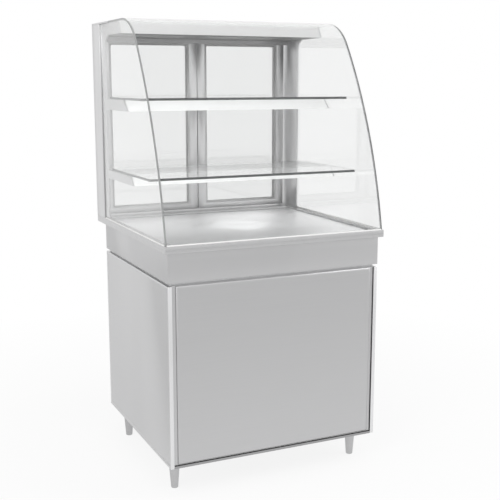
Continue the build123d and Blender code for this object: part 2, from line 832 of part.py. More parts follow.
# Rear posts: flat folded box sections at the worktop's rear corners
post_mid_x = half_width - post_width / 2
post_mid_y = half_depth - post_depth / 2
post_height = roof_underside - worktop_height
with BuildPart() as post_right:
    with BuildSketch(level(worktop_height)):
        with Locations((post_mid_x, post_mid_y)):
            Rectangle(post_width, post_depth)
            Rectangle(post_width - 2 * sheet, post_depth - 2 * sheet, mode=Mode.SUBTRACT)
    extrude(amount=post_height)
post_right.part.label = "post_right"
export_step(post_right.part, "parts/post_right.step")

with BuildPart() as post_left:
    add(mirror(post_right.part, about=Plane.YZ))
post_left.part.label = "post_left"
export_step(post_left.part, "parts/post_left.step")

# Bracket plates: one cut plate a side with arms for the canopy and both shelves
with BuildPart() as bracket_plate_right:
    with BuildSketch(facing_right(plate_inner_x)) as plate_outline:
        with BuildLine():
            Polyline(
                (plate_rear, worktop_height),
                (plate_front, worktop_height),
                (plate_front, lower_carrier_bottom),
                (lower_carrier_bottom_front, lower_carrier_bottom),
                (lower_carrier_top_front, lower_carrier_top),
                (plate_front, lower_carrier_top),
                (plate_front, upper_carrier_bottom),
                (upper_carrier_bottom_front, upper_carrier_bottom),
                (upper_carrier_top_front, upper_carrier_top),
                (plate_front, upper_carrier_top),
                (plate_front, canopy_underside),
                (canopy_front_bottom, canopy_underside),
                (canopy_front_top, roof_underside),
                (plate_rear, roof_underside),
                close=True,
            )
        make_face()
        inner_corners = plate_outline.vertices().filter_by_position(
            Axis.X, plate_front - sheet, plate_front + sheet
        )
        from_the_top = inner_corners.sort_by(Axis.Y)[::-1]
        under_canopy, _, under_upper, _, under_lower, _ = from_the_top
        fillet(under_canopy, radius=plate_fillet_top)
        fillet([under_upper, under_lower], radius=plate_fillet_shelf)
    extrude(amount=plate_thickness)
bracket_plate_right.part.label = "bracket_plate_right"
export_step(bracket_plate_right.part, "parts/bracket_plate_right.step")

with BuildPart() as bracket_plate_left:
    add(mirror(bracket_plate_right.part, about=Plane.YZ))
bracket_plate_left.part.label = "bracket_plate_left"
export_step(bracket_plate_left.part, "parts/bracket_plate_left.step")


def hood_curve(inset):
    """Draw the glass profile moved inwards by inset: the leaning arc, then the crown arc."""
    lean = radians(glass_foot_angle)
    foot_point = (glass_foot_y + inset * cos(lean), worktop_height - inset * sin(lean))
    lean_arc = JernArc(
        start=foot_point,
        tangent=(sin(lean), cos(lean)),
        radius=glass_radius - inset,
        arc_size=-glass_sweep_angle,
    )
    crown_arc = JernArc(
        start=lean_arc @ 1, tangent=lean_arc % 1, radius=crown_radius - inset, arc_size=-crown_turn
    )
    return lean_arc, crown_arc


def below_worktop():
    """Cut away what reaches below the worktop's top face."""
    with Locations((0, worktop_height - glass_thickness)):
        Rectangle(2 * worktop_depth, 2 * glass_thickness, mode=Mode.SUBTRACT)


# Front glass: one bent pane from the worktop's front edge up and over to the roof
with BuildPart() as front_glass:
    with BuildSketch(facing_right(-glass_x)):
        with BuildLine():
            outer_lean, outer_crown = hood_curve(0)
            outer_top = Line(outer_crown @ 1, (glass_top_rear, glass_top))
            inner_lean, inner_crown = hood_curve(glass_thickness)
            inner_top = Line(inner_crown @ 1, (glass_top_rear, roof_underside))
            Line(outer_top @ 1, inner_top @ 1)
            Line(outer_lean @ 0, inner_lean @ 0)
        make_face()
        below_worktop()
    extrude(amount=2 * glass_x)
front_glass.part.label = "front_glass"
export_step(front_glass.part, "parts/front_glass.step")

# Side panes: cut to the bent pane's inner face, in line with the posts
side_glass_rear = post_front - glass_gap
with BuildPart() as side_glass_right:
    with BuildSketch(facing_right(side_glass_inner_x)):
        with BuildLine():
            pane_lean, pane_crown = hood_curve(glass_thickness + glass_gap)
            Polyline(
                pane_crown @ 1,
                (side_glass_rear, roof_underside - glass_gap),
                (side_glass_rear, worktop_height - glass_thickness),
                pane_lean @ 0,
            )
        make_face()
        below_worktop()
    extrude(amount=glass_thickness)
side_glass_right.part.label = "side_glass_right"
export_step(side_glass_right.part, "parts/side_glass_right.step")

with BuildPart() as side_glass_left:
    add(mirror(side_glass_right.part, about=Plane.YZ))
side_glass_left.part.label = "side_glass_left"
export_step(side_glass_left.part, "parts/side_glass_left.step")

# Canopy: folded housing between the plates, with a lamp slot in its underside
lamp_half_length = plate_inner_x - lamp_end_inset
canopy_lamp_y = canopy_front_top + lamp_setback + lamp_width / 2
with BuildPart() as canopy_housing:
    with BuildSketch(facing_right(-plate_inner_x)):
        with BuildLine():
            Polyline(
                (canopy_front_bottom, canopy_underside),
                (canopy_front_top, roof_underside),
                (header_front, roof_underside),
                (header_front, canopy_underside),
                close=True,
            )
        make_face()
        offset(amount=-sheet, kind=Kind.INTERSECTION, mode=Mode.SUBTRACT)
    extrude(amount=2 * plate_inner_x)
    with BuildSketch(level(canopy_underside)):
        with Locations((0, canopy_lamp_y)):
            Rectangle(2 * lamp_half_length, lamp_width)
    extrude(amount=sheet, mode=Mode.SUBTRACT)
canopy_housing.part.label = "canopy_housing"
export_step(canopy_housing.part, "parts/canopy_housing.step")


# Lamp diffusers: opal bars in the slots, rounded where they stand below the sheet
diffusers = {
    "canopy_diffuser": (canopy_underside, canopy_lamp_y),
    "upper_shelf_diffuser": (upper_carrier_bottom, upper_carrier_top_front + lamp_setback + lamp_width / 2),
    "lower_shelf_diffuser": (lower_carrier_bottom, lower_carrier_top_front + lamp_setback + lamp_width / 2),
}
for diffuser_node, (underside, y) in diffusers.items():
    with BuildPart() as diffuser:
        with BuildSketch(facing_right(-lamp_half_length)):
            with Locations((y, underside - lamp_drop + lamp_thickness / 2)):
                Rectangle(lamp_width, lamp_thickness)
        extrude(amount=2 * lamp_half_length)
        fillet(diffuser.faces().sort_by(Axis.Z)[0].edges(), radius=lamp_edge_round)
    diffuser.part.label = diffuser_node
    export_step(diffuser.part, f"parts/{diffuser_node}.step")

# Shelves: a folded carrier with a leaning front between the plates, and a glass plate on it
shelves = {
    "upper": (
        upper_carrier_bottom,
        upper_carrier_top,
        upper_carrier_bottom_front,
        upper_carrier_top_front,
        upper_glass_front,
    ),
    "lower": (
        lower_carrier_bottom,
        lower_carrier_top,
        lower_carrier_bottom_front,
        lower_carrier_top_front,
        lower_glass_front,
    ),
}
for shelf, (bottom, top, front_low, front_high, glass_front) in shelves.items():
    with BuildPart() as carrier:
        with BuildSketch(facing_right(-plate_inner_x)):
            with BuildLine():
                Polyline(
                    (front_low, bottom),
                    (front_high, top),
                    (carrier_rear, top),
                    (carrier_rear, bottom),
                    close=True,
                )
            make_face()
            offset(amount=-sheet, kind=Kind.INTERSECTION, mode=Mode.SUBTRACT)
        extrude(amount=2 * plate_inner_x)
        with BuildSketch(level(bottom)):
            with Locations((0, front_high + lamp_setback + lamp_width / 2)):
                Rectangle(2 * lamp_half_length, lamp_width)
        extrude(amount=sheet, mode=Mode.SUBTRACT)
    carrier.part.label = f"{shelf}_shelf_carrier"
    export_step(carrier.part, f"parts/{shelf}_shelf_carrier.step")

    with BuildPart() as shelf_pane:
        with BuildSketch(level(top)):
            with Locations((0, (glass_front + shelf_glass_rear) / 2)):
                Rectangle(2 * (plate_inner_x - shelf_glass_gap), shelf_glass_rear - glass_front)
        extrude(amount=shelf_glass)
        chamfer(shelf_pane.faces().sort_by(Axis.Z)[-1].edges(), length=shelf_edge_round)
    shelf_pane.part.label = f"{shelf}_shelf_glass"
    export_step(shelf_pane.part, f"parts/{shelf}_shelf_glass.step")

# Door header: folded beam over the doors with a lip in front that they close against
with BuildPart() as door_header:
    with BuildSketch(facing_right(-plate_inner_x)):
        with BuildLine():
            Polyline(
                (header_front, lip_bottom),
                (lip_rear, lip_bottom),
                (lip_rear, header_underside),
                (plate_rear, header_underside),
                (plate_rear, roof_underside),
                (header_front, roof_underside),
                close=True,
            )
        make_face()
        offset(amount=-sheet, kind=Kind.INTERSECTION, mode=Mode.SUBTRACT)
    extrude(amount=2 * plate_inner_x)
door_header.part.label = "door_header"
export_step(door_header.part, "parts/door_header.step")

# Roof panel: folded cap behind the glass, over the posts, canopy and header
roof_front = glass_top_rear + glass_gap
roof_mid_y = (roof_front + half_depth) / 2
roof_length = half_depth - roof_front
with BuildPart() as roof_panel:
    with BuildSketch(level(roof_underside)):
        with Locations((0, roof_mid_y)):
            Rectangle(worktop_width, roof_length)
    extrude(amount=glass_thickness)
    fillet(roof_panel.faces().sort_by(Axis.Z)[-1].edges(), radius=sheet)
    with BuildSketch(level(roof_underside)):
        with Locations((0, roof_mid_y)):
            Rectangle(worktop_width - 2 * post_width, roof_length - 2 * roof_fold)
    extrude(amount=glass_thickness - sheet, mode=Mode.SUBTRACT)
roof_panel.part.label = "roof_panel"
export_step(roof_panel.part, "parts/roof_panel.step")

# Rear doors: frame with pivot sockets and a grip, white glazing bead, two panes
door_mid_x = (door_inner_x + door_outer_x) / 2
door_mid_z = (door_bottom + door_top) / 2
door_width = door_outer_x - door_inner_x
bead_width_outer = door_width - 2 * door_stile_width
bead_height_outer = door_height - 2 * door_rail_width
pane_margin = bead_width - pane_rebate
socket_depth = pivot_length + hole_clearance
pane_faces = [door_mid_y - pane_air_gap / 2, door_mid_y + pane_air_gap / 2 + pane_thickness]
with BuildPart() as door_frame_right:
    with BuildSketch(facing_front(door_rear)):
        with Locations((door_mid_x, door_mid_z)):
            Rectangle(door_width, door_height)
            Rectangle(bead_width_outer, bead_height_outer, mode=Mode.SUBTRACT)
    extrude(amount=door_thickness)
    with BuildSketch(level(door_bottom)):
        with Locations((pivot_x, door_mid_y)):
            Circle(pivot_diameter / 2 + pivot_clearance)
    extrude(amount=socket_depth, mode=Mode.SUBTRACT)
    with BuildSketch(level(door_top)):
        with Locations((pivot_x, door_mid_y)):
            Circle(pivot_diameter / 2 + pivot_clearance)
    extrude(amount=-socket_depth, mode=Mode.SUBTRACT)
    with BuildSketch(level(door_mid_z - grip_length / 2)):
        with BuildLine():
            Polyline(
                (door_inner_x + grip_wall, door_rear),
                (door_inner_x + grip_wall, door_rear + grip_depth),
                (door_inner_x + grip_wall + grip_width, door_rear + grip_depth),
                (door_inner_x + grip_wall + grip_width, door_rear + grip_depth - grip_wall),
                (door_inner_x + 2 * grip_wall, door_rear + grip_depth - grip_wall),
                (door_inner_x + 2 * grip_wall, door_rear),
                close=True,
            )
        make_face()
    extrude(amount=grip_length)
door_frame_right.part.label = "door_frame_right"
export_step(door_frame_right.part, "parts/door_frame_right.step")

with BuildPart() as door_bead_right:
    with BuildSketch(facing_front(door_rear - bead_inset)):
        with Locations((door_mid_x, door_mid_z)):
            Rectangle(bead_width_outer, bead_height_outer)
            RectangleRounded(
                bead_width_outer - 2 * bead_width,
                bead_height_outer - 2 * bead_width,
                pane_rebate,
                mode=Mode.SUBTRACT,
            )
    extrude(amount=door_thickness - 2 * bead_inset)
    for pane_face in pane_faces:
        with BuildSketch(facing_front(pane_face)):
            with Locations((door_mid_x, door_mid_z)):
                Rectangle(bead_width_outer - 2 * pane_margin, bead_height_outer - 2 * pane_margin)
        extrude(amount=pane_thickness, mode=Mode.SUBTRACT)
door_bead_right.part.label = "door_bead_right"
export_step(door_bead_right.part, "parts/door_bead_right.step")

with BuildPart() as door_panes_right:
    for pane_face in pane_faces:
        with BuildSketch(facing_front(pane_face)):
            with Locations((door_mid_x, door_mid_z)):
                Rectangle(bead_width_outer - 2 * pane_margin, bead_height_outer - 2 * pane_margin)
        extrude(amount=pane_thickness)
door_panes_right.part.label = "door_panes_right"
export_step(door_panes_right.part, "parts/door_panes_right.step")

door_pieces = {
    "door_frame_left": door_frame_right,
    "door_bead_left": door_bead_right,
    "door_panes_left": door_panes_right,
}
for door_node, right_piece in door_pieces.items():
    with BuildPart() as left_piece:
        add(mirror(right_piece.part, about=Plane.YZ))
    left_piece.part.label = door_node
    export_step(left_piece.part, f"parts/{door_node}.step")

# Door pivots: plates on the worktop and under the header with pins into the frames
with BuildPart() as door_pivots:
    for side in (-1, 1):
        with BuildSketch(level(worktop_height)):
            with Locations((side * pivot_x, door_mid_y)):
                Rectangle(pivot_plate_width, pivot_plate_depth)
        extrude(amount=pivot_plate)
        with BuildSketch(level(worktop_height + pivot_plate)):
            with Locations((side * pivot_x, door_mid_y)):
                Circle(pivot_diameter / 2)
        extrude(amount=door_bottom + pivot_length - worktop_height - pivot_plate)
        with BuildSketch(level(header_underside)):
            with Locations((side * pivot_x, door_mid_y)):
                Rectangle(pivot_plate_width, pivot_plate_depth)
        extrude(amount=-pivot_plate)
        with BuildSketch(level(header_underside - pivot_plate)):
            with Locations((side * pivot_x, door_mid_y)):
                Circle(pivot_diameter / 2)
        extrude(amount=-(header_underside - pivot_plate - door_top + pivot_length))
door_pivots.part.label = "door_pivots"
export_step(door_pivots.part, "parts/door_pivots.step")

# Compressor: domed shell on a foot plate, carried by rubber grommets
grommet_spread = compressor_foot - grommet_diameter
with BuildPart() as compressor:
    with BuildSketch(level(compressor_base)):
        with Locations((compressor_x, compressor_y)):
            RectangleRounded(compressor_foot, compressor_foot, grommet_diameter / 2)
    extrude(amount=compressor_plate)
    with BuildSketch(level(compressor_base + compressor_plate)):
        with Locations((compressor_x, compressor_y)):
            Circle(compressor_diameter / 2)
    extrude(amount=compressor_height)
    fillet(compressor.edges().group_by(Axis.Z)[-1], radius=compressor_dome_round)
compressor.part.label = "compressor"
export_step(compressor.part, "parts/compressor.step")

with BuildPart() as compressor_grommets:
    with BuildSketch(level(base_top)):
        with Locations((compressor_x, compressor_y)):
            with GridLocations(grommet_spread, grommet_spread, 2, 2):
                Circle(grommet_diameter / 2)
    extrude(amount=grommet_height)
compressor_grommets.part.label = "compressor_grommets"
export_step(compressor_grommets.part, "parts/compressor_grommets.step")


def serpentine(passes, pitch, half_run):
    """Corner points of a tube that runs to and fro along X and climbs by pitch along Y."""
    points = []
    for index in range(passes):
        side = -1 if index % 2 == 0 else 1
        along = (index - (passes - 1) / 2) * pitch
        points.append((side * half_run, along))
        points.append((-side * half_run, along))
    return points


# Condenser: fin pack threaded on one serpentine tube
condenser_run = condenser_width / 2 + tube_stub
condenser_points = serpentine(condenser_tube_rows, condenser_row_pitch, condenser_run)
fin_pitch = condenser_width / (condenser_fins - 1)
condenser_plane = Plane((condenser_x, condenser_y, fan_z), x_dir=(1, 0, 0), z_dir=(0, -1, 0))
with BuildPart() as condenser_coil:
    with BuildLine(condenser_plane) as condenser_path:
        FilletPolyline(*condenser_points, radius=condenser_row_pitch * tube_bend_share)
    with BuildSketch(Plane(condenser_path.line @ 0, z_dir=condenser_path.line % 0)):
        Circle(tube_diameter / 2)
    sweep()
    with BuildSketch(facing_front(condenser_rear)):
        with Locations((condenser_x, fan_z)):
            with GridLocations(fin_pitch, 0, condenser_fins, 1):
                Rectangle(fin_thickness, condenser_height)
    extrude(amount=condenser_depth)
condenser_coil.part.label = "condenser_coil"
export_step(condenser_coil.part, "parts/condenser_coil.step")

# Fan shroud: box between the condenser and the fan, with the fan's round opening
with BuildPart() as fan_shroud:
    with BuildSketch(facing_front(condenser_front)):
        with Locations((condenser_x, fan_z)):
            Rectangle(condenser_width, condenser_height)
            Rectangle(
                condenser_width - 2 * shroud_wall,
                condenser_height - 2 * shroud_wall,
                mode=Mode.SUBTRACT,
            )
    extrude(amount=shroud_depth)
    with BuildSketch(facing_front(shroud_front)):
        with Locations((condenser_x, fan_z)):
            Rectangle(condenser_width, condenser_height)
            Circle(fan_bore / 2, mode=Mode.SUBTRACT)
    extrude(amount=shroud_wall)
fan_shroud.part.label = "fan_shroud"
export_step(fan_shroud.part, "parts/fan_shroud.step")

# Condenser fan motor: can with its shaft, held by four arms across the opening
motor_rear = shroud_front - shroud_wall
arm_length = fan_bore + 4 * motor_arm_width
with BuildPart() as condenser_fan_motor:
    with BuildSketch(facing_front(motor_rear - motor_arm_thickness)):
        with Locations((condenser_x, fan_z)):
            Circle(motor_diameter / 2)
    extrude(amount=motor_length)
    fillet(condenser_fan_motor.edges().group_by(Axis.Y)[0], radius=motor_arm_width / 2)
    with BuildSketch(facing_front(motor_rear)):
        with Locations((condenser_x, fan_z)):
            Circle(motor_diameter / 2)
            Rectangle(arm_length, motor_arm_width, rotation=motor_arm_angle)
            Rectangle(arm_length, motor_arm_width, rotation=-motor_arm_angle)
    extrude(amount=motor_arm_thickness)
    with BuildSketch(facing_front(fan_y + fan_hub_length / 2)):
        with Locations((condenser_x, fan_z)):
            Circle(motor_shaft_diameter / 2)
    extrude(amount=fan_y + fan_hub_length / 2 - motor_rear)
condenser_fan_motor.part.label = "condenser_fan_motor"
export_step(condenser_fan_motor.part, "parts/condenser_fan_motor.step")


def fan_blades(center, axis, across, reach, hub_radius, half_width):
    """The pitched blades of a fan, each a plate turned about its own length."""
    length = (reach**2 - half_width**2) ** 0.5
    blades = []
    for index in range(fan_blade_count):
        turn = index * 360 / fan_blade_count
        radial = Vector(*across).rotate(Axis((0, 0, 0), axis), turn)
        tilted = Vector(*axis).rotate(Axis((0, 0, 0), radial), fan_blade_angle)
        with BuildPart() as blade:
            with BuildSketch(Plane(center, x_dir=radial, z_dir=tilted)):
                with BuildLine():
                    Polyline(
                        (hub_radius - fan_blade_thickness, -half_width / 2),
                        (length, -half_width),
                        (length, half_width),
                        (hub_radius - fan_blade_thickness, half_width / 2),
                        close=True,
                    )
                make_face()
            extrude(amount=fan_blade_thickness / 2, both=True)
        blades.append(blade.part)
    return blades


# Condenser fan: hub on the motor's shaft with five pitched blades
condenser_blades = fan_blades(
    center=(condenser_x, fan_y, fan_z),
    axis=(0, -1, 0),
    across=(1, 0, 0),
    reach=fan_blade_diameter / 2,
    hub_radius=fan_hub_diameter / 2,
    half_width=fan_blade_half_width,
)
with BuildPart() as condenser_fan:
    with BuildSketch(facing_front(fan_y + fan_hub_length / 2)):
        with Locations((condenser_x, fan_z)):
            Circle(fan_hub_diameter / 2)
    extrude(amount=fan_hub_length)
    add(condenser_blades)
    with BuildSketch(facing_front(fan_y + fan_hub_length)):
        with Locations((condenser_x, fan_z)):
            Circle(motor_shaft_diameter / 2 + shaft_clearance)
    extrude(amount=2 * fan_hub_length, mode=Mode.SUBTRACT)
condenser_fan.part.label = "condenser_fan"
export_step(condenser_fan.part, "parts/condenser_fan.step")

# Evaporator: fin pack on a flat serpentine tube, on two runners over the liner's floor
evaporator_run = evaporator_width / 2 + tube_stub
evaporator_points = serpentine(evaporator_passes, evaporator_pass_pitch, evaporator_run)
evaporator_fin_pitch = evaporator_width / (evaporator_fins - 1)
evaporator_plane = Plane((evaporator_x, evaporator_y, evaporator_z))
with BuildPart() as evaporator_coil:
    with BuildLine(evaporator_plane) as evaporator_path:
        FilletPolyline(*evaporator_points, radius=evaporator_pass_pitch * tube_bend_share)
    with BuildSketch(Plane(evaporator_path.line @ 0, z_dir=evaporator_path.line % 0)):
        Circle(tube_diameter / 2)
    sweep()
    with BuildSketch(level(evaporator_bottom)):
        with Locations((evaporator_x, evaporator_y)):
            with GridLocations(evaporator_fin_pitch, 0, evaporator_fins, 1):
                Rectangle(fin_thickness, evaporator_depth)
    extrude(amount=evaporator_height)
    with BuildSketch(level(well_inside_floor)):
        with Locations((evaporator_x, evaporator_y)):
            with GridLocations(0, evaporator_depth - evaporator_lift, 1, 2):
                Rectangle(evaporator_width, evaporator_lift)
    extrude(amount=evaporator_lift)
evaporator_coil.part.label = "evaporator_coil"
export_step(evaporator_coil.part, "parts/evaporator_coil.step")

# Evaporator fan: square frame on the liner's floor beside the coil, blade on its shaft
small_fan_x = evaporator_x + evaporator_run + small_fan_gap + tube_diameter
small_fan_z = well_inside_floor + small_fan_frame / 2
small_fan_mid_x = small_fan_x + small_fan_depth / 2
small_hub_length = small_fan_depth / 2
with BuildPart() as evaporator_fan_frame:
    with BuildSketch(facing_right(small_fan_x)):
        with Locations((evaporator_y, small_fan_z)):
            RectangleRounded(small_fan_frame, small_fan_frame, small_fan_arm / 2)
            Circle(small_fan_bore / 2, mode=Mode.SUBTRACT)
    extrude(amount=small_fan_depth)
    with BuildSketch(facing_right(small_fan_x)):
        with Locations((evaporator_y, small_fan_z)):
            Circle(small_fan_hub / 2)
            Rectangle(small_fan_bore + small_fan_arm / 2, small_fan_arm)
            Rectangle(small_fan_arm, small_fan_bore + small_fan_arm / 2)
    extrude(amount=small_fan_arm / 2)
    with BuildSketch(facing_right(small_fan_x)):
        with Locations((evaporator_y, small_fan_z)):
            Circle(motor_shaft_diameter / 2)
    extrude(amount=small_fan_mid_x + small_hub_length / 2 - small_fan_x)
evaporator_fan_frame.part.label = "evaporator_fan_frame"
export_step(evaporator_fan_frame.part, "parts/evaporator_fan_frame.step")

evaporator_blades = fan_blades(
    center=(small_fan_mid_x, evaporator_y, small_fan_z),
    axis=(1, 0, 0),
    across=(0, 1, 0),
    reach=small_fan_blade / 2,
    hub_radius=small_fan_hub / 2,
    half_width=small_blade_half_width,
)
with BuildPart() as evaporator_fan:
    with BuildSketch(facing_right(small_fan_mid_x - small_hub_length / 2)):
        with Locations((evaporator_y, small_fan_z)):
            Circle(small_fan_hub / 2)
    extrude(amount=small_hub_length)
    add(evaporator_blades)
    with BuildSketch(facing_right(small_fan_mid_x - small_hub_length)):
        with Locations((evaporator_y, small_fan_z)):
            Circle(motor_shaft_diameter / 2 + shaft_clearance)
    extrude(amount=2 * small_hub_length, mode=Mode.SUBTRACT)
evaporator_fan.part.label = "evaporator_fan"
export_step(evaporator_fan.part, "parts/evaporator_fan.step")

# Pipes: discharge to the condenser, liquid line with its drier, suction back to the compressor
condenser_end_x = condenser_x - condenser_run
row_span = (condenser_tube_rows - 1) / 2 * condenser_row_pitch
condenser_low = fan_z - row_span
condenser_high = fan_z + row_span
evaporator_end_x = evaporator_x - evaporator_run
suction_level = compressor_base + compressor_plate + compressor_height / 2
discharge_level = condenser_high + pipe_reach
drier_bottom = discharge_level + pipe_reach
drier_top = drier_bottom + drier_length
liquid_level = drier_top + pipe_reach
riser_x = condenser_end_x - pipe_reach
pipe_routes = [
    (
        liquid_pipe_diameter,
        [
            (compressor_x, compressor_y, compressor_top),
            (compressor_x, compressor_y, discharge_level),
            (riser_x, condenser_y, discharge_level),
            (riser_x, condenser_y, condenser_high),
            (condenser_end_x, condenser_y, condenser_high),
        ],
    ),
    (
        liquid_pipe_diameter,
        [
            (condenser_end_x, condenser_y, condenser_low),
            (liquid_pipe_x, condenser_y, condenser_low),
            (liquid_pipe_x, condenser_y, drier_bottom),
        ],
    ),
    (
        liquid_pipe_diameter,
        [
            (liquid_pipe_x, condenser_y, drier_top),
            (liquid_pipe_x, condenser_y, liquid_level),
            (*liquid_place, liquid_level),
            (*liquid_place, evaporator_z),
            (evaporator_end_x, liquid_place[1], evaporator_z),
        ],
    ),
    (
        suction_pipe_diameter,
        [
            (compressor_x, compressor_y + compressor_diameter / 2, suction_level),
            (*suction_place, suction_level),
            (*suction_place, evaporator_z),
            (evaporator_end_x, suction_place[1], evaporator_z),
        ],
    ),
]
with BuildPart() as refrigerant_pipes:
    for diameter, route in pipe_routes:
        with BuildLine() as centre_line:
            FilletPolyline(*route, radius=pipe_bend)
        with BuildSketch(Plane(centre_line.line @ 0, z_dir=centre_line.line % 0)):
            Circle(diameter / 2)
        sweep(path=centre_line.line)
    with BuildSketch(level(drier_bottom)):
        with Locations((liquid_pipe_x, condenser_y)):
            Circle(drier_diameter / 2)
    extrude(amount=drier_length)
refrigerant_pipes.part.label = "refrigerant_pipes"
export_step(refrigerant_pipes.part, "parts/refrigerant_pipes.step")
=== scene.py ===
"""Looks of the refrigerated display case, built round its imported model.

Metres, +X to the right of someone facing the front, +Y to the back, +Z up.
"""
import json
from math import cos, pi, radians, sin

import bmesh
import bpy
from bpy.props import FloatProperty, FloatVectorProperty, IntProperty, PointerProperty
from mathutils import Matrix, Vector

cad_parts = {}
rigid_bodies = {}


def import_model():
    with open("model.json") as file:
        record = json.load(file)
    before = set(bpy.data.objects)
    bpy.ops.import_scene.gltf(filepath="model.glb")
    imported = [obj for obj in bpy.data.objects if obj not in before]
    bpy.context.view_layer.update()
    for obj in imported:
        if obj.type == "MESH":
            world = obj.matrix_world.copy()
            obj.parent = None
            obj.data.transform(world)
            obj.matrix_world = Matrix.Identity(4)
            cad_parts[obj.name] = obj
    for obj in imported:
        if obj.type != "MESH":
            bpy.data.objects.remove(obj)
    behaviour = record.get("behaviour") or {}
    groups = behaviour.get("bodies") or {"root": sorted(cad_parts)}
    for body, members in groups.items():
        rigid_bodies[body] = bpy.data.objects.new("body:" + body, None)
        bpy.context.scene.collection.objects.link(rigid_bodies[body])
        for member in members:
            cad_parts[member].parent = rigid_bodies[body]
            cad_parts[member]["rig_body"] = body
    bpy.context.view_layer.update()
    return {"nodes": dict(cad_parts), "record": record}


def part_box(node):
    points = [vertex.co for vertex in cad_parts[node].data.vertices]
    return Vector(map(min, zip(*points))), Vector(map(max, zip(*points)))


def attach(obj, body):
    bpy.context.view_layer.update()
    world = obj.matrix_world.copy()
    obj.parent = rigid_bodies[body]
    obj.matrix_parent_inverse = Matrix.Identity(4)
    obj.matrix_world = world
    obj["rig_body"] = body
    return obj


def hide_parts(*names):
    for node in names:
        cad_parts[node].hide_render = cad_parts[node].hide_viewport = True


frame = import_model()
nodes = frame["nodes"]
slots = {part["node"]: part["material_slot"] for part in frame["record"]["subparts"]}

bl_info = {
    "name": "Refrigerated Display Case",
    "version": (1, 0, 0),
    "blender": (4, 5, 0),
    "location": "3D View > Sidebar > Display Case",
    "description": "Finishes and fine pieces of a display case with a bent glass front",
    "category": "Object",
}

# Shapes
MERGE_DISTANCE = 1e-6
LEVEL_DISTANCE = 1e-7  # points nearer than this to a level lie in it
FLAT_TURN = radians(1)  # faces that turn less are one face
SHARP_EDGE = radians(35)  # an edge that turns less is no corner
PANEL_FOLD_STEPS = 8  # flats round each rolled edge of the front panel
PANEL_SMOOTH = radians(40)
FILLET_STEPS = 6  # flats across a bead of sealant
SEALANT_SMOOTH = radians(40)
PANE_POINTS = (3, 260)  # across and along the bent pane
PANE_SMOOTH = radians(30)
PANE_EDGE_ROUND = 0.0005

# Cross-head screws
SCREW_RADIUS = 0.0045
SCREW_HEIGHT = 0.0025
SCREW_SIDES = 24
SCREW_DOME_SHARES = (0.25, 0.5, 0.75, 0.95)  # of the dome's turn, from its seat to its top
SCREW_DOME_TURN = 80  # degrees
SCREW_DOME = 0.28  # share of the radius that the dome takes
CROSS_ARM = 0.0024
CROSS_HALF = 0.0005
CROSS_DEPTH = 0.0012
SCREW_TURN = 1.9  # radians from one screw's cross to the next one's

# Finishes
STROKE_SHARE = 0.004  # width of a brushing line over its length
# Painted highlight: the side panels' folds that look front or back are lighter than the panels.
SIDE_FOLD_PAINTED_HIGHLIGHT = 1.22  # folds of the side panels, brighter than the panels
FACE_LIMIT = 0.6  # a face looks along an axis where its normal goes beyond this
GLASS_IOR = 1.5
SHADOW_TINT_SHARE = 1.04  # of the tint, for the light in a pane's shadow
DOOR_TINT_SHARE = 0.97  # of the tint, for the double panes of the doors

# Room
WHITE = (1, 1, 1, 1)
FLOOR_SIZE, FLOOR_SQUARES = 12, 8  # half its width, and squares along it
FLOOR_NEAR, FLOOR_FAR = 0.7, 2.2  # the floor fades to white between these distances
FLOOR_GLOW = 0.86  # share of white in the floor near the case
# Painted reflection: grey stripes that the floor shows to mirror rays only, for the steel's uneven
# tone.
REFLECTION_FRONT, REFLECTION_BACK = -5.0, 5.0
PAINTED_REFLECTION_LEVELS = ((0.0, 0.76), (0.44, 1.0), (0.53, 0.84), (0.9, 1.0))  # place and grey level
LAMP_AIM = Vector((0, -0.1, 0.95))
LAMPS = (  # name, place, width and height, share of the lamp light, what it lights
    ("lamp_left", (-3.2, -2.6, 3.4), (2.4, 2.4), 1.0, "opaque"),
    ("lamp_right", (3.4, -2.0, 2.8), (2.4, 2.4), 0.6, "opaque"),
    ("lamp_deck", (0.16, 0.3, 1.2), (0.8, 0.3), 0.03, "deck"),
    ("lamp_back", (1.5, 3.4, 1.6), (2.6, 2.2), 1.8, "deck"),
    ("lamp_hood", (-0.9, -2.6, 1.9), (1.2, 1.2), 0.6, "housings"),
    ("lamp_top", (0.0, -0.6, 4.2), (2.6, 2.6), 0.2, "opaque"),
)
CAMERA_PLACE = (-1.3203, -3.0159, 1.3579)
CAMERA_DOWN, CAMERA_TURN = 0.1842, -0.4316  # radians
CAMERA_SENSOR, CAMERA_LENS = 36, 65.49  # millimetres


# Settings


def colour(name, description, default):
    """A colour property."""
    return FloatVectorProperty(
        name=name, description=description, default=default, subtype="COLOR", size=3, min=0, max=1
    )


def length(name, description, default):
    """A length property in metres."""
    return FloatProperty(
        name=name, description=description, default=default, unit="LENGTH", min=0, precision=4
    )


def angle(name, description, degrees):
    """An angle property."""
    return FloatProperty(
        name=name, description=description, default=radians(degrees), subtype="ANGLE"
    )


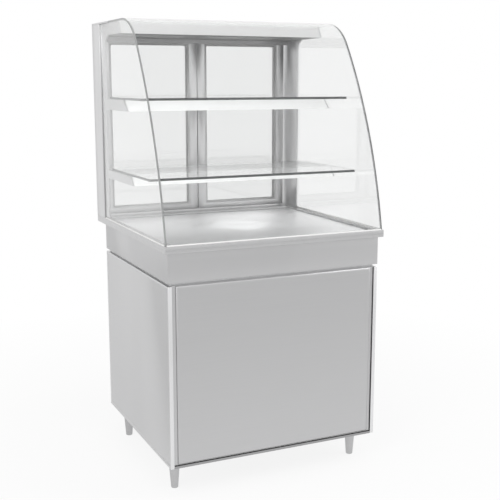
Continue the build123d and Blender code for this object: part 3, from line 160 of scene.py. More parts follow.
class SteelSettings(bpy.types.PropertyGroup):
    """Colours and grain of the sheet steel, and the folds of its sheets."""

    side_colour: colour("Side panels", "Steel of the side panels", (0.64, 0.64, 0.645))
    front_colour: colour("Front panel", "Steel of the front panel", (0.55, 0.55, 0.555))
    well_colour: colour("Well casing", "Steel of the box round the well", (0.55, 0.55, 0.555))
    rim_colour: colour("Worktop rim", "Steel of the worktop's rim", (0.56, 0.56, 0.565))
    # Deck: its own steel, with the tone raised far above the other steel as painted light on the
    # deck.
    deck_painted_light_colour: colour("Deck", "Steel of the deck in the hood", (0.9, 0.9, 0.905))
    hood_colour: colour("Roof", "Steel of the roof", (0.66, 0.66, 0.665))
    # Painted shade: the header and the canopy's underside take this darkened steel as the shade
    # under the roof.
    painted_shade_colour: colour("Header", "Dull steel under the roof", (0.31, 0.31, 0.315))
    coat_colour: colour("White coat", "Lamp housings and shelf carriers", (0.94, 0.94, 0.94))
    post_colour: colour("Posts", "Steel of the two posts", (0.68, 0.68, 0.685))
    plate_colour: colour("Bracket plates", "Steel of the bracket plates", (0.69, 0.69, 0.695))
    frame_colour: colour("Profiles", "Door profiles, pins and screws", (0.78, 0.78, 0.785))
    foot_colour: colour("Feet", "Steel of the feet", (0.52, 0.52, 0.525))
    base_colour: colour("Base", "Steel of the base pan", (0.36, 0.36, 0.365))
    zinc_colour: colour("Galvanised sheet", "Inner frames and fan shroud", (0.78, 0.785, 0.79))
    roughness: FloatProperty(
        name="Roughness",
        description="How dull the steel is",
        default=0.34,
        subtype="FACTOR",
        min=0,
        max=1,
    )
    grain: length("Grain", "Distance between the brushing lines", 0.0009)
    fold_round: length("Fold round", "Radius left on folded and cut edges", 0.0007)
    panel_fold: length("Panel fold", "Width of the front panel's rolled edges", 0.009)
    groove_depth: length("Groove depth", "Depth of the groove round the front panel", 0.0055)
    lip_clearance: length("Lip clearance", "Between the panel's lips and the side panels", 0.0004)
    base_lip: length("Base lip", "Lip of the panel in the gap above the base", 0.0036)
    shadow_lip: length("Top lip", "Lip of the panel in the gap above it", 0.0015)
    sheet: length("Sheet", "Thickness of the front panel's sheet", 0.0015)


class GlassSettings(bpy.types.PropertyGroup):
    """Sizes of the bent pane and the colours of the glass."""

    foot_lean: angle("Foot lean", "Lean of the pane where it stands on the worktop", 10)
    long_sweep: angle("Long sweep", "Turn of the pane along its long arc", 24)
    long_radius: length("Long radius", "Outer radius of the long arc", 1.65)
    crown_radius: length("Crown radius", "Outer radius of the arc at the top", 0.178)
    thickness: length("Thickness", "Thickness of the bent pane", 0.006)
    tint: colour("Tint", "Colour of light that passes the glass", (0.952, 0.955, 0.954))
    edge_colour: colour("Shelf edges", "Colour seen in their cut edges", (0.1, 0.115, 0.112))
    pane_edge: colour("Bent pane's edges", "Colour seen in its cut edges", (0.45, 0.46, 0.458))
    side_edge: colour("Side panes' edges", "Colour seen in their cut edges", (0.7, 0.71, 0.71))


class FittingSettings(bpy.types.PropertyGroup):
    """Colours of the plastics and sizes of the small fittings."""

    bead_colour: colour("Glazing bead", "White profile round the door panes", (0.8, 0.8, 0.8))
    opal_colour: colour("Shelf lamp covers", "Opal covers under the shelves", (0.86, 0.86, 0.84))
    # Painted shade: the canopy's lamp cover is dark grey for the shade under the canopy.
    cover_painted_shade_colour: colour("Canopy lamp cover", "Cover under the canopy", (0.16, 0.16, 0.16))
    black_colour: colour("Mouldings", "Black mouldings at the back", (0.022, 0.022, 0.024))
    key_colour: colour("Keys", "Keys of the thermostat", (0.12, 0.12, 0.125))
    rocker_colour: colour("Rocker", "Rocker switches", (0.02, 0.16, 0.05))
    silicone: length("Sealant", "Size of the sealant beads along the panes", 0.0035)
    sealant_colour: colour("Sealant", "White sealant at the feet of the panes", (0.92, 0.92, 0.91))
    screw_count: IntProperty(
        name="Screws", description="Screws along each edge of the service panel", default=5, min=2
    )


class MachinerySettings(bpy.types.PropertyGroup):
    """Colours of the cooling unit."""

    enamel_colour: colour("Enamel", "Compressor and fan motor", (0.018, 0.018, 0.02))
    rubber_colour: colour("Rubber", "Grommets under the compressor", (0.02, 0.02, 0.02))
    fin_colour: colour("Fins", "Aluminium of both coils", (0.7, 0.71, 0.72))
    blade_colour: colour("Fan", "Aluminium of the condenser's fan", (0.6, 0.61, 0.62))
    moulding_colour: colour("Fan moulding", "Evaporator's fan", (0.03, 0.03, 0.032))
    copper_colour: colour("Copper", "Pipes of the cooling unit", (0.72, 0.36, 0.2))
    foam_colour: colour("Foam", "Insulation round the well", (0.72, 0.6, 0.32))


class StageSettings(bpy.types.PropertyGroup):
    """Room round the case."""

    floor_colour: colour("Floor", "Colour of the floor", (0.9, 0.9, 0.9))
    room_light: FloatProperty(
        name="Room light", description="Light that comes from all round", default=0.62, min=0
    )
    lamp_light: FloatProperty(
        name="Lamp light", description="Power of the left lamp", default=75, unit="POWER", min=0
    )


# Materials


class NodeBoard:
    """A node tree with short ways to add and join nodes."""

    def __init__(self, tree):
        self.tree = tree
        self.tree.nodes.clear()

    def join(self, source, target):
        """Links an output to an input."""
        self.tree.links.new(source, target)

    def fill(self, node, values):
        """Sets a node's inputs, each to a value or to the output that it is joined to."""
        for key, value in values.items():
            if isinstance(value, bpy.types.NodeSocket):
                self.join(value, node.inputs[key])
            else:
                node.inputs[key].default_value = value

    def add(self, kind, values=None, **settings):
        """Adds a node; settings are its attributes and values its inputs."""
        node = self.tree.nodes.new(kind)
        for key, value in settings.items():
            setattr(node, key, value)
        self.fill(node, values or {})
        return node

    def maths(self, operation, *values):
        """Result of a Math node."""
        return self.add("ShaderNodeMath", dict(enumerate(values)), operation=operation).outputs[0]

    def split(self, vector):
        """The X, Y and Z outputs of a vector."""
        return self.add("ShaderNodeSeparateXYZ", {0: vector}).outputs

    def between(self, share, first, second):
        """A shader between two: the first at 0, the second at 1."""
        return self.add("ShaderNodeMixShader", {0: share, 1: first, 2: second}).outputs[0]

    def shows_background(self):
        """1 for rays from the camera and by way of steel or glass, else 0."""
        path = self.add("ShaderNodeLightPath").outputs
        direct = self.maths("MAXIMUM", path["Is Camera Ray"], path["Is Glossy Ray"])
        return self.maths("MAXIMUM", direct, path["Is Transmission Ray"])


class Finish(NodeBoard):
    """The nodes of a material, its main shader joined to its output."""

    def __init__(self, name):
        self.material = bpy.data.materials.new(name)
        self.material.use_nodes = True
        super().__init__(self.material.node_tree)
        self.output = self.add("ShaderNodeOutputMaterial")
        self.shader = self.add("ShaderNodeBsdfPrincipled")
        self.end(self.shader.outputs[0])

    def end(self, surface):
        """Joins a shader to the material's output."""
        self.join(surface, self.output.inputs["Surface"])

    def paint(self, **values):
        """Sets or joins inputs of the main shader; an underscore stands for a space."""
        self.fill(self.shader, {key.replace("_", " "): value for key, value in values.items()})

    def noise(self, scale, detail=2.0):
        """Noise on object coordinates; scale is one number, or one for each axis."""
        scale = scale if isinstance(scale, list) else [scale] * 3
        where = self.add("ShaderNodeTexCoord").outputs["Object"]
        placed = self.add("ShaderNodeMapping", {"Scale": scale, "Vector": where}).outputs[0]
        values = {"Scale": 1.0, "Detail": detail, "Vector": placed}
        return self.add("ShaderNodeTexNoise", values).outputs["Fac"]

    def ramp(self, value, low, high, start=0.0, end=1.0):
        """Maps a value from start..end to low..high."""
        ends = {"From Min": start, "From Max": end, "To Min": low, "To Max": high}
        return self.add("ShaderNodeMapRange", {"Value": value, **ends}).outputs["Result"]

    def mix(self, share, first, second):
        """A colour between two colours or outputs: the first at 0, the second at 1."""
        first, second = (
            end if isinstance(end, bpy.types.NodeSocket) else (*end, 1) for end in (first, second)
        )
        values = {"Factor": share, "A": first, "B": second}
        return self.add("ShaderNodeMix", values, data_type="RGBA").outputs["Result"]

    def varied(self, value, tone, darker, lighter):
        """A colour times a share that goes from darker to lighter with the value."""
        return self.mix(value, shade(tone, darker), shade(tone, lighter))

    def normal(self, axis):
        """How far a face looks along an axis, from -1 to 1."""
        return self.split(self.add("ShaderNodeTexCoord").outputs["Normal"])[axis]

    def looks_along(self, axis):
        """1 on faces that look nearly along an axis, either way, else 0."""
        return self.maths("GREATER_THAN", self.maths("ABSOLUTE", self.normal(axis)), FACE_LIMIT)

    def bump(self, value, strength, distance):
        """Raises the surface by a value."""
        values = {"Strength": strength, "Distance": distance, "Height": value}
        self.paint(Normal=self.add("ShaderNodeBump", values).outputs[0])


def shade(tone, share):
    """The colour made darker or lighter by a share."""
    return tuple(min(1.0, part * share) for part in tone)


def brushed(name, tone, roughness, grain, along, painted_highlight_share=None):
    """Brushed sheet metal whose lines run along one axis.

    The highlight share lightens the narrow folds that look to the front or the back,
    as a painted highlight.
    """
    made = Finish(name)
    lines = 1 / grain
    scale = [lines, lines, lines]
    scale["XYZ".index(along)] = lines * STROKE_SHARE
    strokes = made.noise(scale, detail=3)
    clouds = made.noise(5, detail=2)
    base = made.varied(strokes, tone, 0.96, 1.04)
    if painted_highlight_share:
        # Painted highlight: folds that look to the front or back get a lighter steel tone.
        painted_highlight = made.varied(strokes, shade(tone, painted_highlight_share), 0.93, 1.06)
        base = made.mix(made.looks_along("Y"), base, painted_highlight)
    fine = made.ramp(strokes, -0.05, 0.05)
    broad = made.ramp(clouds, roughness - 0.04, roughness + 0.04)
    made.paint(Base_Color=base, Roughness=made.maths("ADD", fine, broad), Metallic=1.0)
    made.bump(strokes, strength=0.05, distance=0.0001)
    return made.material


def metal(name, tone, roughness, spots=40, spread=0.04, metallic=1.0):
    """Plain metal with a faint mottle; spread is how far its roughness varies."""
    made = Finish(name)
    mottle = made.noise(spots, detail=4)
    made.paint(
        Base_Color=made.varied(mottle, tone, 0.94, 1.05),
        Roughness=made.ramp(mottle, roughness - spread, roughness + spread),
        Metallic=metallic,
    )
    return made.material


def plastic(name, tone, roughness, pits=900, strength=0.08):
    """Moulded plastic, enamel, foam or rubber with a pitted surface."""
    made = Finish(name)
    mottle = made.noise(30, detail=3)
    made.paint(
        Base_Color=made.varied(mottle, tone, 0.95, 1.04),
        Roughness=made.ramp(mottle, roughness - 0.03, roughness + 0.05),
    )
    made.bump(made.noise(pits, detail=1), strength, distance=0.0001)
    return made.material


def coated_with_painted_shade_under(name, coat, painted_shade_tone):
    """White coat; faces that look down are painted dark steel as shade under the canopy."""
    made = Finish(name)
    mottle = made.noise(40, detail=3)
    # Painted shade: the faces that look down are darkened as the shade under the canopy.
    down = made.maths("LESS_THAN", made.normal("Z"), -FACE_LIMIT)
    outside = made.varied(mottle, coat, 0.97, 1.0)
    under = made.varied(mottle, painted_shade_tone, 0.3, 0.38)
    made.paint(Base_Color=made.mix(down, outside, under), Roughness=made.ramp(mottle, 0.27, 0.35))
    return made.material


def sealant_white(name, tone):
    """White sealant, smoothed by hand."""
    made = Finish(name)
    cloudy = made.noise(60, detail=2)
    made.paint(
        Base_Color=made.varied(cloudy, tone, 0.92, 1.0), Roughness=made.ramp(cloudy, 0.25, 0.4)
    )
    made.bump(cloudy, strength=0.2, distance=0.0002)
    return made.material


def glass(name, tint, edge_colour=None, axis=None, edges_look_along=False):
    """Clear glass with coloured cut edges, told apart by the way a face looks.

    The pane's large faces look along axis, or its cut edges do where edges_look_along
    is set. With no axis, no edge shows.
    """
    made = Finish(name)
    smears = made.noise(6, detail=3)
    made.paint(
        Base_Color=(*tint, 1),
        Roughness=made.ramp(smears, 0.0, 0.015),
        IOR=GLASS_IOR,
        Transmission_Weight=1.0,
    )
    surface = made.shader.outputs[0]
    if axis is not None:
        edge_finish = {"Base Color": made.varied(smears, edge_colour, 0.8, 1.2), "Roughness": 0.15}
        edge = made.add("ShaderNodeBsdfPrincipled", edge_finish).outputs[0]
        ends = (surface, edge) if edges_look_along else (edge, surface)
        surface = made.between(made.looks_along(axis), *ends)
    in_shadow = made.add("ShaderNodeLightPath").outputs["Is Shadow Ray"]
    through = {"Color": (*shade(tint, SHADOW_TINT_SHARE), 1)}
    passing = made.add("ShaderNodeBsdfTransparent", through).outputs[0]
    made.end(made.between(in_shadow, surface, passing))
    return made.material


def dress(material, *names):
    """Gives CAD nodes a material."""
    for name in names:
        mesh = nodes[name].data
        mesh.materials.clear()
        mesh.materials.append(material)


# Meshes


def piece(name, mesh, body, material=None, slot=None, replaces=(), smooth_angle=None):
    """Links a finished mesh as a piece that rides on a body."""
    obj = bpy.data.objects.new(name, mesh)
    bpy.context.scene.collection.objects.link(obj)
    if material:
        mesh.materials.clear()
        mesh.materials.append(material)
    if smooth_angle is not None:
        for polygon in mesh.polygons:
            polygon.use_smooth = True
        mesh.set_sharp_from_angle(angle=smooth_angle)
    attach(obj, body)
    if replaces:
        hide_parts(*replaces)
    return obj


def from_bmesh(name, work):
    """Turns a bmesh into a mesh whose faces look outwards."""
    bmesh.ops.remove_doubles(work, verts=work.verts, dist=MERGE_DISTANCE)
    bmesh.ops.recalc_face_normals(work, faces=work.faces)
    mesh = bpy.data.meshes.new(name)
    work.to_mesh(mesh)
    work.free()
    return mesh


def wall(work, first, second):
    """Adds a closed band of faces between two rings of points."""
    count = len(first)
    for index in range(count):
        other = (index + 1) % count
        work.faces.new((first[index], first[other], second[other], second[index]))


def prism(work, outline, start, end, axis):
    """Adds a closed prism: outline points (two coordinates) pulled along an axis."""

    def ring(along):
        places = [list(pair) for pair in outline]
        for place in places:
            place.insert("XYZ".index(axis), along)
        return [work.verts.new(place) for place in places]

    near, far = ring(start), ring(end)
    work.faces.new(near)
    work.faces.new(far[::-1])
    wall(work, near, far)


def bevelled(obj, width, segments=2):
    """Rounds a piece's edges and keeps the result in its mesh."""
    modifier = obj.modifiers.new("rounded", "BEVEL")
    modifier.width = width
    modifier.segments = segments
    modifier.limit_method = "ANGLE"
    modifier.angle_limit = SHARP_EDGE
    graph = bpy.context.evaluated_depsgraph_get()
    made = bpy.data.meshes.new_from_object(obj.evaluated_get(graph))
    obj.modifiers.clear()
    old = obj.data
    obj.data = made
    bpy.data.meshes.remove(old)


def soften(material, width, *names):
    """Stands a copy with rounded edges for each CAD node of sheet or profile."""
    for name in names:
        work = bmesh.new()
        work.from_mesh(nodes[name].data)
        bmesh.ops.remove_doubles(work, verts=work.verts, dist=MERGE_DISTANCE)
        bmesh.ops.dissolve_limit(
            work, angle_limit=FLAT_TURN, verts=work.verts, edges=work.edges
        )
        mesh = bpy.data.meshes.new(name + "_folded")
        work.to_mesh(mesh)
        work.free()
        for polygon in mesh.polygons:
            polygon.use_smooth = True
        body = nodes[name]["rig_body"]
        obj = piece(name + "_folded", mesh, body, material, slots[name], (name,))
        bevelled(obj, width)


class ShapeTree(NodeBoard):
    """A Geometry Nodes tree with named inputs."""

    def __init__(self, name):
        super().__init__(bpy.data.node_groups.new(name, "GeometryNodeTree"))
        self.tree.interface.new_socket(
            "Geometry", in_out="OUTPUT", socket_type="NodeSocketGeometry"
        )
        self.source = self.add("NodeGroupInput")
        self.named = {}

    def ask(self, name, kind, value=None):
        """Adds a named input and gives its socket."""
        kind = f"NodeSocket{kind}"
        socket = self.tree.interface.new_socket(name, in_out="INPUT", socket_type=kind)
        self.named[name] = (socket.identifier, value)
        return next(s for s in self.source.outputs if s.identifier == socket.identifier)

    def point(self, **parts):
        """A vector from its X, Y and Z."""
        return self.add("ShaderNodeCombineXYZ", parts).outputs[0]

    def position(self):
        """The X, Y and Z of each point."""
        return self.split(self.add("GeometryNodeInputPosition").outputs[0])

    def move(self, shape, place):
        """Puts each point of a shape in its new place."""
        values = {"Geometry": shape, "Position": place}
        return self.add("GeometryNodeSetPosition", values).outputs[0]

    def together(self, *shapes):
        """One shape from several."""
        made = self.add("GeometryNodeJoinGeometry")
        for shape in shapes:
            self.join(shape, made.inputs[0])
        return made.outputs[0]

    def build(self, shape):
        """Realizes a shape, sets its material and ends the tree."""
        material = self.ask("Material", "Material")
        real = self.add("GeometryNodeRealizeInstances", {0: shape}).outputs[0]
        painted = self.add("GeometryNodeSetMaterial", {"Geometry": real, "Material": material})
        self.add("NodeGroupOutput", {0: painted.outputs[0]})

    def mesh(self, name, material):
        """Runs the tree on an empty object and gives the result as a mesh."""
        holder = bpy.data.objects.new(name, bpy.data.meshes.new(name))
        bpy.context.scene.collection.objects.link(holder)
        modifier = holder.modifiers.new(name, "NODES")
        modifier.node_group = self.tree
        for identifier, value in self.named.values():
            if value is not None:
                modifier[identifier] = value
        modifier[self.named["Material"][0]] = material
        graph = bpy.context.evaluated_depsgraph_get()
        made = bpy.data.meshes.new_from_object(holder.evaluated_get(graph))
        made.name = name
        bpy.data.objects.remove(holder)
        return made


# Operators


class CASE_OT_steelwork(bpy.types.Operator):
    """Steel of the cabinet, worktop, hood, door profiles and feet"""

    bl_idname = "display_case.steelwork"
    bl_label = "Steelwork"

    def execute(self, context):
        steel = context.scene.case_steel
        full, half = steel.fold_round, steel.fold_round / 2

        def sheet(name, tone, along="X", duller=0.0, painted_highlight_share=None):
            rough = steel.roughness + duller
            return brushed(f"{name}_steel", tone, rough, steel.grain, along, painted_highlight_share)

        side = sheet("side", steel.side_colour, "Y", painted_highlight_share=SIDE_FOLD_PAINTED_HIGHLIGHT)
        soften(side, full, "side_panel_left", "side_panel_right")
        front = sheet("front", steel.front_colour)
        self.rounded_panel(steel, front)
        soften(front, half, "service_panel", "control_rail")
        well = sheet("well", steel.well_colour)
        soften(well, full, "well_casing")
        dress(well, "well_liner")
        soften(sheet("rim", steel.rim_colour, duller=-0.06), full, "worktop")
        # Deck steel lightened as painted light, on top of the lamps that light it.
        soften(sheet("deck", steel.deck_painted_light_colour, duller=0.1), full, "deck")
        soften(sheet("post", steel.post_colour, "Z"), full, "post_left", "post_right")
        plate = sheet("plate", steel.plate_colour, "Z")
        soften(plate, half, "bracket_plate_left", "bracket_plate_right")
        profile = sheet("profile", steel.frame_colour, "Z")
        soften(profile, half, "door_frame_left", "door_frame_right")
        zinc = metal("galvanised", steel.zinc_colour, 0.5, spots=90, spread=0.1, metallic=0.3)
        dress(zinc, "front_frame", "top_frame", "fan_shroud")
        dress(sheet("base", steel.base_colour), "base_pan")
        feet = [name for name in nodes if name.startswith("foot_")]
        dress(metal("foot_metal", steel.foot_colour, 0.32), *feet)
        dress(metal("pin_steel", steel.frame_colour, 0.25), "door_pivots")
        soften(sheet("hood", steel.hood_colour), half, "roof_panel")
        # Painted shade: the header's steel is darkened for the shade under the canopy.
        soften(sheet("header", steel.painted_shade_colour), half, "door_header")
        coat = plastic("white_coat", steel.coat_colour, 0.3, pits=700, strength=0.04)
        soften(coat, half, "upper_shelf_carrier", "lower_shelf_carrier")
        # Painted shade: white coat outside, its downward faces darkened as shade under the canopy.
        canopy = coated_with_painted_shade_under("canopy_coat", steel.coat_colour, steel.painted_shade_colour)
        soften(canopy, half, "canopy_housing")
        return {"FINISHED"}

    def rounded_panel(self, steel, material):
        """Front panel as one folded sheet: flat front, rolled edges, lip in the groove."""
        low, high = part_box("front_panel")
        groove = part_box("side_panel_right")[0].x - high.x
        work = bmesh.new()

        def rings(shift):
            """Rings from the rear rim to the flat front, moved inwards by shift."""
            side_lip = groove - steel.lip_clearance - shift
            base_lip = steel.base_lip - shift
            top_lip = steel.shadow_lip - shift
            bottom = low.y + steel.groove_depth + shift
            lips = (-side_lip, -base_lip, -top_lip)
            profile = [(*lips, high.y), (*lips, bottom)]
            for step in range(PANEL_FOLD_STEPS + 1):
                turn = radians(90 * step / PANEL_FOLD_STEPS)
                inset = shift + (steel.panel_fold - shift) * (1 - cos(turn))
                rise = steel.groove_depth * (1 - sin(turn))
                profile.append((inset, inset, inset, low.y + shift + rise))
            made = []
            for side_in, base_in, top_in, y in profile:
                corners = (
                    (low.x + side_in, low.z + base_in),
                    (high.x - side_in, low.z + base_in),
                    (high.x - side_in, high.z - top_in),
                    (low.x + side_in, high.z - top_in),
                )
                made.append([work.verts.new((x, y, z)) for x, z in corners])
            return made

        outside, inside = rings(0), rings(steel.sheet)
        for face in (outside, inside):
            for first, second in zip(face, face[1:]):
                wall(work, first, second)
            work.faces.new(face[-1])
        wall(work, outside[0], inside[0])
        name, stood_for = "rounded_front_panel", "front_panel"
        mesh = from_bmesh(name, work)
        body = nodes[stood_for]["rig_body"]
        piece(name, mesh, body, material, slots[stood_for], (stood_for,), PANEL_SMOOTH)


class CASE_OT_bent_glass(bpy.types.Operator):
    """Bent front pane as a strip along its two arcs, and the flat panes"""

    bl_idname = "display_case.bent_glass"
    bl_label = "Glass"

    def execute(self, context):
        sizes = context.scene.case_glass
        tint = sizes.tint
        self.bent_pane(sizes)
        side = glass("side_glass", tint, sizes.side_edge, "X")
        dress(side, "side_glass_left", "side_glass_right")
        shelf = glass("shelf_glass", tint, sizes.edge_colour, "Z")
        dress(shelf, "upper_shelf_glass", "lower_shelf_glass")
        door = glass("door_glass", shade(tint, DOOR_TINT_SHARE))
        dress(door, "door_panes_left", "door_panes_right")
        return {"FINISHED"}

    def bent_pane(self, sizes):
        """A grid bent along the long arc and the crown arc, then given its thickness."""
        low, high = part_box("front_glass")
        tree = ShapeTree("bent_pane")
        maths = tree.maths
        foot = tree.ask("Foot", "Vector", (0.0, low.y, low.z))
        width = tree.ask("Width", "Float", high.x - low.x)
        lean = tree.ask("Lean", "Float", sizes.foot_lean)
        sweep = tree.ask("Sweep", "Float", sizes.long_sweep)
        radius = tree.ask("Radius", "Float", sizes.long_radius)
        crown = tree.ask("Crown radius", "Float", sizes.crown_radius)
        depth = tree.ask("Depth", "Float", high.y - low.y)
        thick = tree.ask("Thickness", "Float", sizes.thickness)

        # Lengths of the long arc, the crown and the flat at the top
        lean_end = maths("ADD", lean, sweep)
        long_run = maths("MULTIPLY", radius, sweep)
        crown_run = maths("MULTIPLY", crown, maths("SUBTRACT", pi / 2, lean_end))
        cosines = maths("SUBTRACT", maths("COSINE", lean), maths("COSINE", lean_end))
        long_depth = maths("MULTIPLY", radius, cosines)
        crown_depth = maths("MULTIPLY", crown, maths("COSINE", lean_end))
        top_run = maths("SUBTRACT", depth, maths("ADD", long_depth, crown_depth))
        total = maths("ADD", long_run, maths("ADD", crown_run, top_run))

        across, along = PANE_POINTS
        points = {"Size X": width, "Size Y": total, "Vertices X": across, "Vertices Y": along}
        grid = tree.add("GeometryNodeMeshGrid", points)
        here = tree.position()
        run = maths("ADD", here["Y"], maths("MULTIPLY", total, 0.5))

        def arc(run_here, size, first):
            """Steps back and up along an arc that starts at an angle."""
            turn = maths("ADD", first, maths("DIVIDE", run_here, size))
            back = maths("SUBTRACT", maths("COSINE", first), maths("COSINE", turn))
            rise = maths("SUBTRACT", maths("SINE", turn), maths("SINE", first))
            return maths("MULTIPLY", size, back), maths("MULTIPLY", size, rise)

        long_back, long_rise = arc(maths("MINIMUM", run, long_run), radius, lean)
        beyond = maths("MAXIMUM", maths("SUBTRACT", run, long_run), 0.0)
        crown_back, crown_rise = arc(maths("MINIMUM", beyond, crown_run), crown, lean_end)
        flat = maths("MAXIMUM", maths("SUBTRACT", beyond, crown_run), 0.0)
        back = maths("ADD", maths("ADD", long_back, crown_back), flat)
        rise = maths("ADD", long_rise, crown_rise)
        spot = tree.point(X=here["X"], Y=back, Z=rise)
        moved = tree.add("ShaderNodeVectorMath", {0: spot, 1: foot}, operation="ADD").outputs[0]
        bent = tree.move(grid.outputs["Mesh"], moved)

        # The inner face, closed with the outer one and cut level at the worktop
        inwards = maths("MULTIPLY", thick, -1.0)
        push = {"Mesh": bent, "Offset Scale": inwards, "Individual": False}
        inner = tree.add("GeometryNodeExtrudeMesh", push, mode="FACES").outputs[0]
        turned = tree.add("GeometryNodeFlipFaces", {"Mesh": inner}).outputs[0]
        both = {"Geometry": tree.together(bent, turned)}
        closed = tree.add("GeometryNodeMergeByDistance", both).outputs[0]
        point = tree.position()
        level = maths("MAXIMUM", point["Z"], tree.split(foot)["Z"])
        tree.build(tree.move(closed, tree.point(X=point["X"], Y=point["Y"], Z=level)))

        pane = glass("pane_glass", sizes.tint, sizes.pane_edge, "X", edges_look_along=True)
        name = "bent_front_pane"
        mesh = tree.mesh(name, pane)
        made = piece(name, mesh, "cabinet", pane, "clear_glass", ("front_glass",), PANE_SMOOTH)
        bevelled(made, PANE_EDGE_ROUND)


class CASE_OT_fittings(bpy.types.Operator):
    """Plastics, lamp covers, sealant and screws"""

    bl_idname = "display_case.fittings"
    bl_label = "Fittings"

    def execute(self, context):
        fit = context.scene.case_fittings
        dress(plastic("bead_plastic", fit.bead_colour, 0.45), "door_bead_left", "door_bead_right")
        opal = plastic("opal_cover", fit.opal_colour, 0.35, pits=500)
        dress(opal, "upper_shelf_diffuser", "lower_shelf_diffuser")
        # Painted shade: the canopy's lamp cover is dark grey as the shade under the canopy.
        dress(plastic("smoked_cover", fit.cover_painted_shade_colour, 0.3, pits=500), "canopy_diffuser")
        black = plastic("black_moulding", fit.black_colour, 0.42)
        dress(black, "thermostat", "switch_housings", "cable_gland", "evaporator_fan_frame")
        key = plastic("key_plastic", fit.key_colour, 0.38)
        dress(key, "button_set", "button_down", "button_up")
        rocker = plastic("rocker_moulding", fit.rocker_colour, 0.22, strength=0.02)
        dress(rocker, "rocker_power", "rocker_lamps")
        self.sealant(fit)
        self.screws(context, fit)
        return {"FINISHED"}

    def sealant(self, fit):
        """Beads of white sealant along the feet of the bent pane and the side panes."""
        size = fit.silicone
        white = sealant_white("sealant", fit.sealant_colour)

        def bead(name, corner, floor, out, wide, start, end, axis):
            """A bead with a hollow face, between a pane's face at corner and the worktop."""
            outline = [(corner, floor)]
            for step in range(FILLET_STEPS + 1):
                turn = radians(90 * step / FILLET_STEPS)
                across, up = wide * (1 - cos(turn)), size * (1 - sin(turn))
                outline.append((corner + out * across, floor + up))
            work = bmesh.new()
            prism(work, outline, start, end, axis)
            mesh = from_bmesh(name, work)
            piece(name, mesh, "cabinet", white, smooth_angle=SEALANT_SMOOTH)

        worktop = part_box("worktop")
        for side, sign in (("left", -1), ("right", 1)):
            low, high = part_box(f"side_glass_{side}")
            inner, outer, rim = (
                (high.x, low.x, worktop[0].x) if sign < 0 else (low.x, high.x, worktop[1].x)
            )
            start, end = low.y + 2 * size, high.y - size
            bead(f"sealant_{side}", inner, low.z, -sign, size, start, end, "Y")
            room = min(size, abs(rim - outer))
            start = low.y + size
            bead(f"outer_sealant_{side}", outer, low.z, sign, room, start, end, "Y")
        low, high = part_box("front_glass")
        start, end = low.x + size, high.x - size
        bead("front_sealant", low.y, low.z, -1, size, start, end, "X")

    def screws(self, context, fit):
        """Cross-head screws down both edges of the service panel."""
        finish = metal("screw_steel", context.scene.case_steel.frame_colour, 0.25)
        holder = bpy.data.objects.new("screw_head", self.screw_head())
        context.scene.collection.objects.link(holder)
        low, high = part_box("service_screws")
        tree = ShapeTree("screw_rows")
        shape = tree.ask("Head", "Object", holder)
        count = tree.ask("Count", "Int", fit.screw_count)
        first = (low.x + SCREW_RADIUS, high.y, low.z + SCREW_RADIUS)
        corner = tree.ask("Corner", "Vector", first)
        span = tree.ask("Span", "Float", high.x - low.x - 2 * SCREW_RADIUS)
        rise = tree.ask("Rise", "Float", high.z - low.z - 2 * SCREW_RADIUS)
        step = tree.maths("DIVIDE", rise, tree.maths("SUBTRACT", count, 1.0))
        places = {"Count": count, "Start Location": corner, "Offset": tree.point(Z=step)}
        row = tree.add("GeometryNodeMeshLine", places, mode="OFFSET").outputs[0]
        across = {"Geometry": row, "Translation": tree.point(X=span)}
        other = tree.add("GeometryNodeTransform", across).outputs[0]
        head = tree.add("GeometryNodeObjectInfo", {"Object": shape}).outputs["Geometry"]
        index = tree.add("GeometryNodeInputIndex").outputs[0]
        turn = tree.point(Y=tree.maths("MULTIPLY", index, SCREW_TURN))
        screws = {"Points": tree.together(row, other), "Instance": head, "Rotation": turn}
        tree.build(tree.add("GeometryNodeInstanceOnPoints", screws).outputs[0])
        mesh = tree.mesh("panel_screws", finish)
        bpy.data.objects.remove(holder)
        stood_for = "service_screws"
        slot = slots[stood_for]
        piece("panel_screws", mesh, "cabinet", finish, slot, (stood_for,), SHARP_EDGE)

    def screw_head(self):
        """A pan head with a cross recess. It looks along +Y, and its seat is a height below 0."""
        work = bmesh.new()

        def ring(points, y):
            return [work.verts.new((x, y, z)) for x, z in points]

        def circle(size, y):
            turns = [2 * pi * side / SCREW_SIDES for side in range(SCREW_SIDES)]
            return ring([(size * cos(turn), size * sin(turn)) for turn in turns], y)

        rings = [circle(SCREW_RADIUS, -SCREW_HEIGHT)]
        for share in SCREW_DOME_SHARES:
            turn = radians(SCREW_DOME_TURN * share)
            size = SCREW_RADIUS * (1 - SCREW_DOME + SCREW_DOME * cos(turn))
            rings.append(circle(size, -SCREW_HEIGHT + SCREW_HEIGHT * sin(turn)))
        for first, second in zip(rings, rings[1:]):
            wall(work, first, second)
        work.faces.new(rings[0])
        top = rings[-1][0].co.y
        arm, half = CROSS_ARM, CROSS_HALF
        cross = [
            (half, half), (half, arm), (-half, arm), (-half, half), (-arm, half), (-arm, -half),
            (-half, -half), (-half, -arm), (half, -arm), (half, -half), (arm, -half), (arm, half),
        ]
        rim, bottom = ring(cross, top), ring(cross, top - CROSS_DEPTH)
        wall(work, rim, bottom)
        work.faces.new(bottom)
        edges = [
            edge for edge in work.edges
            if all(abs(vert.co.y - top) < LEVEL_DISTANCE for vert in edge.verts)
        ]
        bmesh.ops.triangle_fill(work, edges=edges, use_beauty=True)
        return from_bmesh("screw_head", work)


